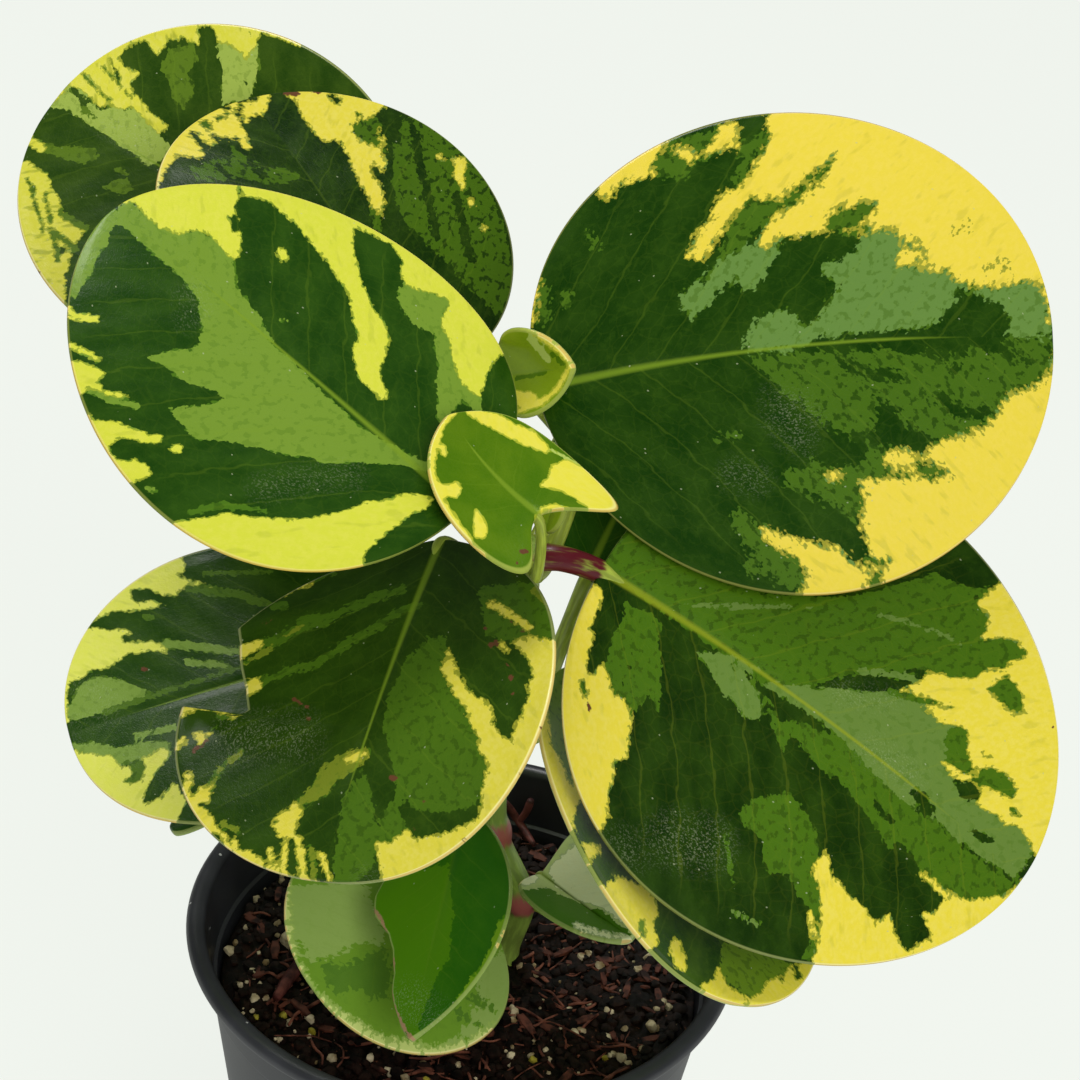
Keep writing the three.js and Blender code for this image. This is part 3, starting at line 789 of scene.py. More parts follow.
tones = {"dark": None, "yellow": 0, "pale": 1, "mid": 2}
# The dust mark is partly real dust and partly painted sheen and highlights, as pale flecked patches.
marks = {"dust": 0, "scar": 1}
pixels_per_mm = 5.6


def chord(length, turn):
    """The straight reach of an arc of a given length that turns by a given angle."""
    half = np.where(np.abs(turn) < 1e-6, 1e-6, turn) / 2
    return length * np.sin(half) / half


def margin_reach(leaf, u, side, whole=False):
    """How far the margin is from the midrib at a share u of the length."""
    base, tip = leaf["rounding"]
    peak = base / (base + tip)
    p = np.clip(u, 1e-9, 1) ** (math.log(peak) / math.log(leaf["widest"]))
    reach = leaf["width"] / 2 * (1 + side * leaf.get("skew", 0))
    reach = reach * (p ** base * np.clip(1 - p, 0, 1) ** tip) / (peak ** base * (1 - peak) ** tip)
    if "bite" in leaf and not whole:
        bite_side, line = leaf["bite"]
        share = np.interp(u, [at for at, _ in line], [kept for _, kept in line], left=1, right=1)
        reach = np.where(side == bite_side, reach * share, reach)
    return reach


def blade_place(leaf, u, v, lift):
    """Where a place of the blade is: u along, v across, lift off the middle sheet."""
    heading, rise, bank, bend, cup = (math.radians(a) for a in leaf["stance"])
    fold, lobe = math.radians(leaf.get("fold", 0)), leaf.get("lobe", 0)
    u, v = np.asarray(u, float), np.asarray(v, float)

    def pointing(pitch):
        level_part = np.cos(pitch)
        return np.stack([level_part * math.cos(heading), level_part * math.sin(heading), np.sin(pitch)], -1)

    gone = chord(leaf["length"] * u, bend * u)[..., None]
    middle = np.array(leaf["foot"]) + pointing(rise + bend * u / 2) * gone
    tangent = pointing(rise + bend * u)
    level = np.array([-math.sin(heading), math.cos(heading), 0]) * np.ones(tangent.shape)
    raised = np.cross(tangent, level)
    aside = math.cos(bank) * level + math.sin(bank) * raised
    up = np.cross(tangent, aside)
    side = np.where(v < 0, -1.0, 1.0)
    reach = np.abs(v) * margin_reach(leaf, u, side)
    share = reach / (leaf["width"] / 2)
    turn = cup * share
    lean = fold + turn / 2
    spread = chord(reach, turn)
    back = -lobe * leaf["length"] * share ** 2 * (1 - u) ** 2
    normal_lean = side * (fold + turn)
    normal = up * np.cos(normal_lean)[..., None] - aside * np.sin(normal_lean)[..., None]
    outward = aside * (side * spread * np.cos(lean))[..., None] + up * (spread * np.sin(lean))[..., None]
    return middle + outward + tangent * back[..., None] + normal * np.asarray(lift, float)[..., None]


def rib_line_of(leaf, u):
    """How far the midrib wanders from the blade's axis."""
    at, off = zip(*leaf.get("rib", [(0, 0), (1, 0)]))
    return np.interp(u, at, off)


def veins_of(leaf, u, v):
    """A place's distances along and across the blade, and the phase of the side veins there."""
    side = np.where(v < 0, -1.0, 1.0)
    along = u * leaf["length"]
    across = v * margin_reach(leaf, u, side)
    phase = along - vein_slant * np.abs(across) + vein_curve * across ** 2
    return along, across, phase / leaf.get("vein_gap", usual_vein_gap) + vein_stagger * side


def flat_place(leaf, spot):
    """A place of the uncut blade laid flat."""
    u, v = spot
    u_in = min(max(u, 0.0), 1.0)
    reach = max(float(margin_reach(leaf, np.array(u_in), 1.0 if v >= 0 else -1.0, whole=True)), 1.0)
    return np.array([u * leaf["length"], v * reach])


def off_line(x, y, spots):
    """Distance of each point from a broken line."""
    far = np.full(x.shape, 1e9)
    for a, b in zip(spots[:-1], spots[1:]):
        way = b - a
        share = np.clip(((x - a[0]) * way[0] + (y - a[1]) * way[1]) / max(way @ way, 1e-9), 0, 1)
        far = np.minimum(far, np.hypot(x - a[0] - share * way[0], y - a[1] - share * way[1]))
    return far


def inside(x, y, spots):
    """True for each point inside a closed line."""
    within = np.zeros(x.shape, bool)
    for a, b in zip(spots, np.roll(spots, -1, axis=0)):
        if a[1] == b[1]:
            continue
        crosses = (a[1] > y) != (b[1] > y)
        within ^= crosses & (x < (b[0] - a[0]) * (y - a[1]) / (b[1] - a[1]) + a[0])
    return within


def in_photo(places):
    """The pixels of the photo at which places would be seen."""
    x, y, z = ((places * mm - np.array(camera_place)) @ np.array(camera_turn.to_3x3())).T
    reach = camera.data.lens / camera.data.sensor_width * photo_side
    return photo_side / 2 - x / z * reach, photo_side / 2 + y / z * reach


def painted(leaf, u, v, under):
    """The shares of yellow, pale, mid green, and of dust with painted sheen, scar, underside and rib, at each
    place.

    A patch is a tone, a width (0 for an outline to be filled) and its spots: in shares of the
    blade's length and half width under 'paint', or in the photo's pixels under 'seen'.
    """
    along, across, _ = veins_of(leaf, u, v)
    seen_x, seen_y = in_photo(blade_place(leaf, u, v, 0.0))
    tone = np.zeros((len(u), 4))
    mark = np.zeros((len(u), 4))
    base_tone = tones[leaf.get("ground", "dark")]
    if base_tone is not None:
        tone[:, base_tone] = 1
    patches = [(patch, False) for patch in leaf.get("paint", [])]
    patches += [(patch, True) for patch in leaf.get("seen", [])]
    for (kind, width, *spots), in_pixels in patches:
        line = np.array(spots, float) if in_pixels else np.array([flat_place(leaf, spot) for spot in spots])
        x, y = (seen_x, seen_y) if in_pixels else (along, across)
        if width:
            depth = width / 2 - off_line(x, y, line)
        else:
            edge = off_line(x, y, np.vstack([line, line[:1]]))
            depth = np.where(inside(x, y, line), edge, -edge)
        if in_pixels:
            depth = depth / pixels_per_mm
        # Dust patches, which also paint sheen and highlights, have the softest edges.
        soft = dust_and_sheen_softness if kind == "dust" else leaf.get("soft", patch_softness)
        share = np.clip(0.5 + depth / (2 * soft), 0, 1)
        if kind in marks:
            mark[:, marks[kind]] = np.maximum(mark[:, marks[kind]], share)
        else:
            wanted = np.zeros(4)
            if tones[kind] is not None:
                wanted[tones[kind]] = 1
            tone = tone * (1 - share[:, None]) + wanted * share[:, None]
    tone[:, 3] = 1
    mark[:, 2] = under
    off_rib = np.abs(across - rib_line_of(leaf, u)) / (rib_foot_half * (1 - u) ** 1.3 + rib_tip_half)
    mark[:, 3] = np.clip(1.2 - off_rib, 0, 1) * np.clip((0.97 - u) / 0.3, 0, 1)
    return tone, mark


def stem_spot(stem, height):
    """The middle, the direction and the radius of a stem at a height."""
    path = smooth_path(stem["points"], 400)
    at = int(np.argmin(np.abs(path[:, 2] - height)))
    way = path[min(at + 1, len(path) - 1)] - path[at - 1]
    return path[at], way / np.linalg.norm(way), stem_radii(stem, path)[at]


def leaf_stalk(leaf):
    """The stalk, from just off its stem into the foot of the blade."""
    stem_name, height, direction, radius = leaf["stalk"][:4]
    centre, way, stem_radius = stem_spot(stems[stem_name], height)
    out = np.array([math.cos(math.radians(direction)), math.sin(math.radians(direction)), 0])
    out = out - way * (out @ way)
    out /= np.linalg.norm(out)
    start = centre + out * (stem_radius + stalk_gap)
    foot = blade_place(leaf, 0.0, 0.0, -stalk_sunk_by[0])
    end = blade_place(leaf, stalk_sunk_to, 0.0, -stalk_sunk_by[1])
    points = [start, start + out * stalk_lead, *leaf["stalk"][4:], foot, end]
    path = smooth_path(points, stalk_points)
    share = np.linspace(0, 1, len(path))
    foot_at = (len(points) - 2) / (len(points) - 1)
    radii = radius * np.where(share < foot_at, 1 - stalk_taper * share / foot_at,
                              (1 - stalk_taper) + (stalk_end_share - 1 + stalk_taper)
                              * (share - foot_at) / (1 - foot_at))
    return limb("stalk", path * mm, radii * mm, stalk_sides)


def put_colours(piece, name, values):
    """Stores four shares for each point of a piece."""
    made = piece.data.attributes.new(name, "FLOAT_COLOR", "POINT")
    made.data.foreach_set("color", np.ascontiguousarray(values, dtype=np.float32).ravel())


def leaf_blade(leaf):
    """The blade: a sheet rolled flat round its midrib, closed at the base and the apex."""
    around, lengthwise = leaf.get("mesh", usual_mesh)
    nothing_selected()
    bpy.ops.mesh.primitive_grid_add(x_subdivisions=around, y_subdivisions=lengthwise, size=2)
    made = bpy.context.object
    flat = places_of(made)
    turn = (flat[:, 0] + 1) * 2
    under = turn > 2
    s = np.where(under, 3 - turn, turn - 1)
    v = even_across * s + (1 - even_across) * np.sin(np.pi / 2 * s)
    t = (flat[:, 1] + 1) / 2
    u = even_along * t + (1 - even_along) * (1 - np.cos(np.pi * t)) / 2
    side = np.where(v < 0, -1.0, 1.0)
    reach = margin_reach(leaf, u, side)
    edge = np.clip((1 - np.abs(v)) * reach, 0, None)
    ends = np.minimum(u, 1 - u) * leaf["length"]
    half = (middle_thickness + (edge_thickness - middle_thickness) * np.abs(v) ** 4) / 2
    rounding = np.minimum(1, np.minimum(edge, ends) / edge_round)
    half = half * np.sqrt(np.clip(1 - (1 - rounding) ** 2, 0, 1))
    along, across, phase = veins_of(leaf, u, v)
    fade = np.clip(1 - u / 0.95, 0, 1) ** 0.7
    off_rib = (across - rib_line_of(leaf, u)) / groove_half_width
    groove = np.exp(-off_rib ** 2) * fade * leaf.get("groove", 1.0)
    quilt = np.cos(2 * np.pi * phase) * np.clip(np.abs(across) / 6, 0, 1) * np.clip(edge / 5, 0, 1)
    wave = (np.sin(along * 0.11 + side * across * 0.07 + leaf["length"])
            * np.clip(np.abs(across) / 15, 0, 1) * np.clip(edge / 3, 0.3, 1))
    top = half - groove_depth * groove + quilt_depth * quilt
    bottom = -half - keel_depth * groove
    lift = np.where(under, bottom, top) + wave_depth * wave * leaf.get("wavy", 1.0)
    made.data.vertices.foreach_set("co", (blade_place(leaf, u, v, lift) * mm).ravel())
    put_vectors(made, "blade", np.stack([along, across, edge], -1))
    tone, mark = painted(leaf, u, v, under & (edge > 0.05))
    put_colours(made, "tone", tone)
    put_colours(made, "mark", mark)
    close_seams(made)
    return made


# The leaf's colours: where the painted shares say, with edges frayed along the side veins,
# a paler midrib, a pale rim, brown scars, dust with painted sheen, and a duller underside.
variegation, given, put_out = new_group(
    "variegation",
    [("Dark", "NodeSocketColor", srgb(24, 66, 8)), ("Mid", "NodeSocketColor", srgb(72, 112, 24)),
     ("Pale", "NodeSocketColor", srgb(128, 160, 84)), ("Yellow", "NodeSocketColor", srgb(228, 216, 62)),
     ("Rim", "NodeSocketColor", srgb(240, 230, 160)), ("Rib", "NodeSocketColor", srgb(118, 146, 34)),
     ("Scar", "NodeSocketColor", srgb(98, 62, 38)), ("Fray", "NodeSocketFloat", 1.0),
     ("Mottle", "NodeSocketFloat", 0.5), ("Rib share", "NodeSocketFloat", 0.75),
     ("Vein gap", "NodeSocketFloat", usual_vein_gap), ("Lime", "NodeSocketFloat", 0.25)],
    [("Colour", "NodeSocketColor", None), ("Roughness", "NodeSocketFloat", None),
     ("Height", "NodeSocketFloat", None)])


def times(first, second, clamp=False):
    """A product in the variegation."""
    return sums(variegation, "MULTIPLY", first, second, clamp=clamp)


def plus(first, second, clamp=False):
    """A sum in the variegation."""
    return sums(variegation, "ADD", first, second, clamp=clamp)


def less(first, second):
    """A difference in the variegation."""
    return sums(variegation, "SUBTRACT", first, second)


def ramp(value, low, high):
    """A smooth step in the variegation."""
    return step(variegation, value, low, high)


def over(ground, colour, share):
    """A colour laid over the ground in a share."""
    return blend(variegation, share, ground, colour)


def stored(name):
    """What the blade's mesh stores under a name."""
    return node(variegation, "ShaderNodeAttribute", attribute_name=name).outputs


def parts(colour):
    """The three parts of a colour."""
    return node(variegation, "ShaderNodeSeparateColor", {0: colour}).outputs


blade = stored("blade")["Vector"]
along, across, edge = node(variegation, "ShaderNodeSeparateXYZ", {0: blade}).outputs
side = sums(variegation, "SIGN", across)
off_rib = sums(variegation, "ABSOLUTE", across)
over_veins = less(along, off_rib)
with_veins = plus(along, off_rib)


def vein_noise(across_scale, along_scale, detail, shift):
    """Noise drawn out along the side veins, its scales in turns a millimetre."""
    spot = node(variegation, "ShaderNodeCombineXYZ", {
        0: times(over_veins, across_scale), 1: times(with_veins, along_scale),
        2: sums(variegation, "MULTIPLY_ADD", side, 7.0, shift)}).outputs[0]
    return node(variegation, "ShaderNodeTexNoise", {"Vector": spot, "Scale": 1.0, "Detail": detail}).outputs


broad = parts(vein_noise(0.42, 0.13, 2.0, 0.0)["Color"])
small = parts(vein_noise(0.9, 0.6, 2.5, 20.0)["Color"])
flecks = vein_noise(0.55, 0.4, 4.0, 40.0)["Fac"]
cloud = vein_noise(0.16, 0.07, 3.0, 60.0)["Fac"]
tone = parts(stored("tone")["Color"])
marked = stored("mark")
mark = parts(marked["Color"])


def frayed(share, channel):
    """A painted share with its edge broken up by the broad and the small noise."""
    wander = plus(times(less(broad[channel], 0.5), 0.9), times(less(small[channel], 0.5), 1.3))
    near_edge = times(times(share, less(1.0, share)), 6.0, clamp=True)
    return plus(share, times(times(wander, given["Fray"]), near_edge))


# The greens, the flecks in them and the yellow, one over the other.
yellow_or_pale = plus(tone[0], tone[1])
yellowish, paleish = frayed(tone[0], 0), frayed(yellow_or_pale, 1)
middling = frayed(plus(yellow_or_pale, tone[2]), 2)
is_yellow, is_pale, is_mid = (ramp(share, 0.45, 0.55) for share in (yellowish, paleish, middling))
fleck_share = times(ramp(flecks, 0.54, 0.60), given["Mottle"])
deep = over(given["Dark"], over(given["Dark"], given["Mid"], 0.22), ramp(cloud, 0.3, 0.7))
ground = over(deep, given["Mid"], times(fleck_share, 0.12))
ground = over(ground, given["Mid"], is_mid)
ground = over(ground, given["Dark"], times(is_mid, times(fleck_share, 0.8)))
ground = over(ground, over(given["Pale"], given["Mid"], times(fleck_share, 0.6)), is_pale)
lime = over(given["Mid"], given["Yellow"], 0.45)
cream = over(given["Yellow"], given["Rim"], times(ramp(small[1], 0.35, 0.7), 0.12))
cream = over(cream, lime, times(ramp(broad[2], 0.58, 0.70), given["Lime"]))
ground = over(ground, lime, times(ramp(yellowish, 0.22, 0.34), 0.8))
ground = over(ground, cream, is_yellow)

# The midrib, the side veins with the fine net between them, and the cells of the skin.
ground = over(ground, given["Rib"], times(ramp(marked["Alpha"], 0.35, 1.0), given["Rib share"]))
curve = times(times(off_rib, off_rib), vein_curve)
phase = sums(variegation, "DIVIDE", plus(less(along, times(off_rib, vein_slant)), curve), given["Vein gap"])
phase = plus(plus(phase, times(side, vein_stagger)), times(broad[0], 0.35))
line = ramp(sums(variegation, "PINGPONG", phase, 0.5), 0.04, 0.01)
mesh = node(variegation, "ShaderNodeTexVoronoi", {"Vector": blade, "Scale": 0.3}, feature="DISTANCE_TO_EDGE")
net = times(ramp(mesh.outputs["Distance"], 0.06, 0.01), 0.3)
veined = times(sums(variegation, "MAXIMUM", line, net), ramp(edge, 1.0, 9.0))
ground = over(ground, given["Rib"], times(times(veined, less(1.0, is_yellow)), 0.11))
cell = node(variegation, "ShaderNodeTexVoronoi", {"Vector": blade, "Scale": 2.6}).outputs["Distance"]
ground = over(ground, given["Pale"], times(ramp(cell, 0.2, 0.6), 0.02))

# The pale rim, gilt where it is yellow, the scars, the dust with painted sheen and the dull underside.
rim_tone = over(given["Mid"], given["Rim"], plus(is_yellow, 0.25, clamp=True))
ground = over(ground, rim_tone, times(ramp(edge, 0.6, 0.3), 0.8))
ground = over(ground, srgb(196, 150, 48), times(ramp(edge, 0.3, 0.1), times(is_yellow, 0.6)))
scarred = ramp(plus(mark[1], times(less(small[2], 0.5), 0.8)), 0.45, 0.6)
ground = over(ground, given["Scar"], scarred)
# Fine dust specks all over, and pale flecked patches where the dust mark is: dust and painted sheen.
grit_here = {"Place": blade, "Per metre": 0.42, "Size": 0.085, "Share": 0.2}
grit = node(variegation, "ShaderNodeGroup", grit_here, node_tree=specks).outputs["Mask"]
dust_and_sheen_flecks = ramp(cloudiness(variegation, blade, 2.2, 3.0, Roughness=0.7), 0.52, 0.62)
dust_and_sheen_flecks = times(dust_and_sheen_flecks, times(mark[0], 0.27))
dust_and_sheen = sums(variegation, "MAXIMUM", dust_and_sheen_flecks, times(grit, 0.5))
ground = over(ground, srgb(172, 180, 142), dust_and_sheen)
ground = over(ground, srgb(150, 172, 96), times(mark[2], 0.55))
variegation.links.new(ground, put_out["Colour"])
variegation.links.new(plus(plus(times(cloud, 0.12), 0.18), times(dust_and_sheen, 0.35)), put_out["Roughness"])
pebbled = times(cloudiness(variegation, blade, 1.3, 3.0), 0.6)
variegation.links.new(plus(plus(pebbled, times(cell, -0.25)), times(small[0], 0.5)), put_out["Height"])


def leaf_finish(name, **tints):
    """The waxy finish of one leaf, with its own colours for the variegation."""
    made = bpy.data.materials.new(name)
    made.use_nodes = True
    tree = made.node_tree
    shader = tree.nodes["Principled BSDF"]
    own = {label.replace("_", " "): value for label, value in tints.items()}
    colours = node(tree, "ShaderNodeGroup", own, node_tree=variegation).outputs
    tree.links.new(colours["Colour"], shader.inputs["Base Color"])
    tree.links.new(colours["Roughness"], shader.inputs["Roughness"])
    shader.inputs["Specular IOR Level"].default_value = 0.16
    shader.inputs["Coat Weight"].default_value = 0.1
    shader.inputs["Coat Roughness"].default_value = 0.1
    roughened(tree, colours["Height"], 0.35, 0.12 * mm)
    return made


stalk_finish = fleshy_finish("fleshy_stalk", srgb(138, 152, 52), srgb(88, 12, 26), 0.35, 0.6)


def grown_leaf(node_name, leaf, slot="leaf_green", blush=0.0, **tints):
    """A finished leaf: blade and stalk in one piece, in place of its solid."""
    made_blade = leaf_blade(leaf)
    finish = leaf_finish(node_name + "_wax", Vein_gap=leaf.get("vein_gap", usual_vein_gap), **tints)
    made_blade.data.materials.append(finish)
    made_stalk = leaf_stalk(leaf)
    reached = np.empty(len(made_stalk.data.vertices) * 3, dtype=np.float32)
    made_stalk.data.attributes["limb"].data.foreach_get("vector", reached)
    put_shares(made_stalk, "blush", blush * np.interp(reached[::3], blush_reach, [1, 1, 0]))
    made_stalk.data.materials.append(stalk_finish)
    made = joined([made_blade, made_stalk], "grown_" + node_name)
    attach(made, "root")
    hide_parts(node_name)


patches = [
    ("mid", 0, (752, 362), (790, 357), (850, 352), (930, 348), (1000, 343), (1046, 340), (1052, 372),
     (1034, 388), (1010, 392), (1000, 410), (985, 428), (960, 436), (935, 446), (915, 436), (890, 442),
     (866, 448), (850, 440), (835, 430), (818, 418), (800, 404), (780, 390), (765, 376)),
    ("dark", 0, (838, 364), (852, 362), (866, 370), (884, 370), (900, 378), (896, 384), (870, 384),
     (850, 376)),
    ("dark", 6, (905, 352), (960, 350)),
    ("dark", 6, (935, 358), (962, 366), (950, 374)),
    ("dark", 8, (982, 346), (1012, 356), (1028, 364)),
    ("dark", 0, (872, 396), (884, 402), (896, 408), (902, 424), (912, 430), (925, 436), (930, 446),
     (915, 452), (895, 446), (870, 446), (850, 440), (852, 430), (866, 434), (876, 428), (874, 412)),
    ("dark", 0, (928, 402), (945, 394), (955, 402), (966, 410), (988, 408), (984, 418), (960, 420),
     (940, 412)),
    ("mid", 0, (782, 484), (784, 470), (800, 470), (812, 462), (838, 470), (862, 462), (870, 448),
     (900, 452), (925, 466), (915, 478), (880, 480), (862, 484), (862, 500), (864, 512), (852, 518),
     (838, 510), (820, 502), (806, 492)),
    ("mid", 0, (905, 462), (925, 462), (945, 468), (952, 476), (935, 478), (915, 476)),
    ("mid", 0, (730, 512), (740, 510), (752, 518), (764, 534), (776, 545), (800, 558), (806, 575),
     (806, 592), (780, 586), (765, 568), (748, 548), (734, 530)),
    ("mid", 0, (742, 565), (752, 560), (762, 566), (764, 574), (752, 577)),
    ("mid", 5, (718, 438), (736, 436)),
    ("pale", 0, (748, 352), (746, 340), (752, 326), (764, 318), (780, 310), (790, 316), (800, 325),
     (810, 332), (800, 346), (780, 352)),
    ("pale", 0, (806, 340), (812, 326), (822, 312), (832, 298), (842, 282), (852, 272), (868, 268),
     (890, 264), (902, 268), (930, 268), (945, 272), (955, 284), (962, 286), (958, 296), (950, 308),
     (940, 320), (925, 330), (900, 334), (870, 336), (840, 338)),
    ("pale", 0, (840, 262), (848, 250), (858, 240), (870, 232), (884, 228), (898, 232), (904, 240),
     (902, 254), (896, 262), (880, 264), (860, 268), (846, 274), (836, 280), (824, 276), (818, 268),
     (826, 258)),
    ("pale", 0, (738, 262), (748, 248), (765, 244), (785, 240), (795, 244), (790, 258), (775, 270),
     (760, 282), (745, 292), (735, 284)),
    ("pale", 0, (962, 290), (985, 284), (1000, 288), (1012, 284), (1024, 280), (1036, 284), (1044, 292),
     (1050, 320), (1048, 338), (1020, 340), (1006, 334), (1000, 324), (985, 330), (970, 320)),
    ("pale", 0, (742, 250), (730, 252), (716, 264), (704, 280), (690, 290), (681, 300), (682, 312),
     (690, 319), (700, 310), (710, 302), (720, 292), (730, 280), (738, 268)),
    ("yellow", 0, (762, 104), (765, 130), (768, 142), (760, 155), (752, 170), (738, 190), (722, 196),
     (712, 222), (700, 232), (690, 256), (700, 258), (718, 238), (735, 214), (752, 200), (768, 222),
     (760, 240), (768, 248), (782, 238), (800, 240), (815, 236), (835, 232), (850, 238), (862, 232),
     (884, 228), (902, 236), (905, 250), (900, 266), (945, 270), (962, 284), (1000, 286), (1024, 278),
     (1040, 284), (1048, 300), (1050, 320), (1068, 318), (1070, 250), (1020, 170), (940, 100), (860, 88)),
    ("mid", 0, (722, 258), (730, 230), (738, 214), (750, 202), (765, 196), (780, 198), (790, 190),
     (803, 184), (818, 188), (806, 200), (796, 208), (782, 216), (766, 224), (750, 236), (735, 248)),
    ("mid", 0, (806, 178), (812, 172), (822, 166), (833, 156), (834, 162), (826, 176), (820, 184),
     (808, 184)),
    ("mid", 0, (822, 226), (826, 216), (838, 206), (852, 206), (862, 200), (874, 204), (878, 212),
     (868, 220), (862, 232), (848, 238), (838, 232), (828, 232)),
    ("dark", 0, (770, 262), (775, 250), (790, 240), (805, 240), (815, 236), (835, 240), (850, 240),
     (856, 248), (840, 258), (822, 262), (806, 266), (790, 275), (775, 285), (765, 290)),
    ("mid", 4, (952, 232), (968, 226)),
    ("mid", 4, (1002, 262), (1004, 270)),
    ("mid", 3, (985, 270), (990, 266)),
    ("pale", 9, (915, 245), (922, 255)),
    ("dark", 0, (958, 298), (972, 292), (985, 300), (1000, 305), (1008, 316), (1004, 330), (985, 336),
     (960, 338), (945, 335), (950, 318)),
    ("dark", 5, (845, 341), (900, 338), (955, 337)),
    ("yellow", 0, (862, 484), (880, 482), (905, 480), (935, 480), (952, 476), (945, 466), (925, 460),
     (930, 448), (960, 438), (985, 430), (1000, 412), (1012, 394), (1034, 390), (1050, 376), (1058, 345),
     (1070, 400), (1044, 480), (984, 566), (900, 610), (800, 616), (800, 596), (806, 590), (808, 575),
     (800, 560), (778, 546), (764, 536), (762, 530), (785, 538), (805, 545), (826, 548), (848, 552),
     (860, 560), (866, 545), (864, 530), (862, 515), (866, 500)),
    ("dark", 0, (848, 548), (862, 545), (868, 560), (858, 568), (848, 560)),
    ("mid", 6, (870, 564), (888, 562)),
    ("mid", 0, (870, 575), (880, 568), (884, 580), (888, 590), (880, 596), (870, 590), (862, 580)),
    ("yellow", 6, (832, 476), (836, 476)),
    ("yellow", 0, (886, 458), (905, 452), (914, 458), (910, 468), (890, 466)),
    ("yellow", 0, (596, 184), (620, 158), (655, 138), (668, 138), (662, 150), (656, 160), (655, 172),
     (645, 176), (630, 178), (618, 184), (610, 195), (604, 198)),
    ("mid", 0, (668, 150), (675, 142), (690, 136), (705, 130), (720, 130), (722, 140), (716, 150),
     (705, 158), (695, 168), (690, 178), (675, 180), (660, 178), (655, 170), (660, 158)),
    ("yellow", 5, (680, 152), (690, 158)),
    ("yellow", 0, (720, 130), (735, 124), (740, 128), (735, 140), (738, 150), (728, 146), (716, 152),
     (708, 156)),
    ("dark", 0, (740, 135), (745, 118), (755, 108), (765, 108), (764, 125), (758, 135), (748, 140)),
    ("mid", 0, (742, 142), (765, 138), (762, 150), (750, 160), (745, 176), (738, 188), (735, 176),
     (742, 160)),
    ("mid", 0, (526, 280), (545, 282), (552, 290), (550, 310), (552, 322), (530, 324)),
    ("yellow", 4, (536, 278), (531, 320)),
    ("mid", 6, (566, 296), (565, 306)),
    ("mid", 8, (590, 236), (596, 246)),
    # Pale flecked patches that paint the blade's sheen.
    ("dust", 0, (770, 395), (800, 402), (815, 420), (805, 450), (785, 440), (770, 420)),
    ("dust", 16, (735, 475), (755, 480)),
]
grown_leaf("leaf_right_upper", dict(
    soft=1.8, foot=(5, 6, 209.5), stance=(11, 15, 45, -18, -7), length=94, width=89, widest=0.51,
    rounding=(0.48, 0.48), stalk=("main", 180, 60, 2, (13, 4, 198)), seen=patches),
    Dark=srgb(16, 50, 2), Mid=srgb(66, 100, 18), Pale=srgb(98, 132, 60), Yellow=srgb(227, 204, 66),
    Rim=srgb(238, 214, 124), Mottle=0.8)


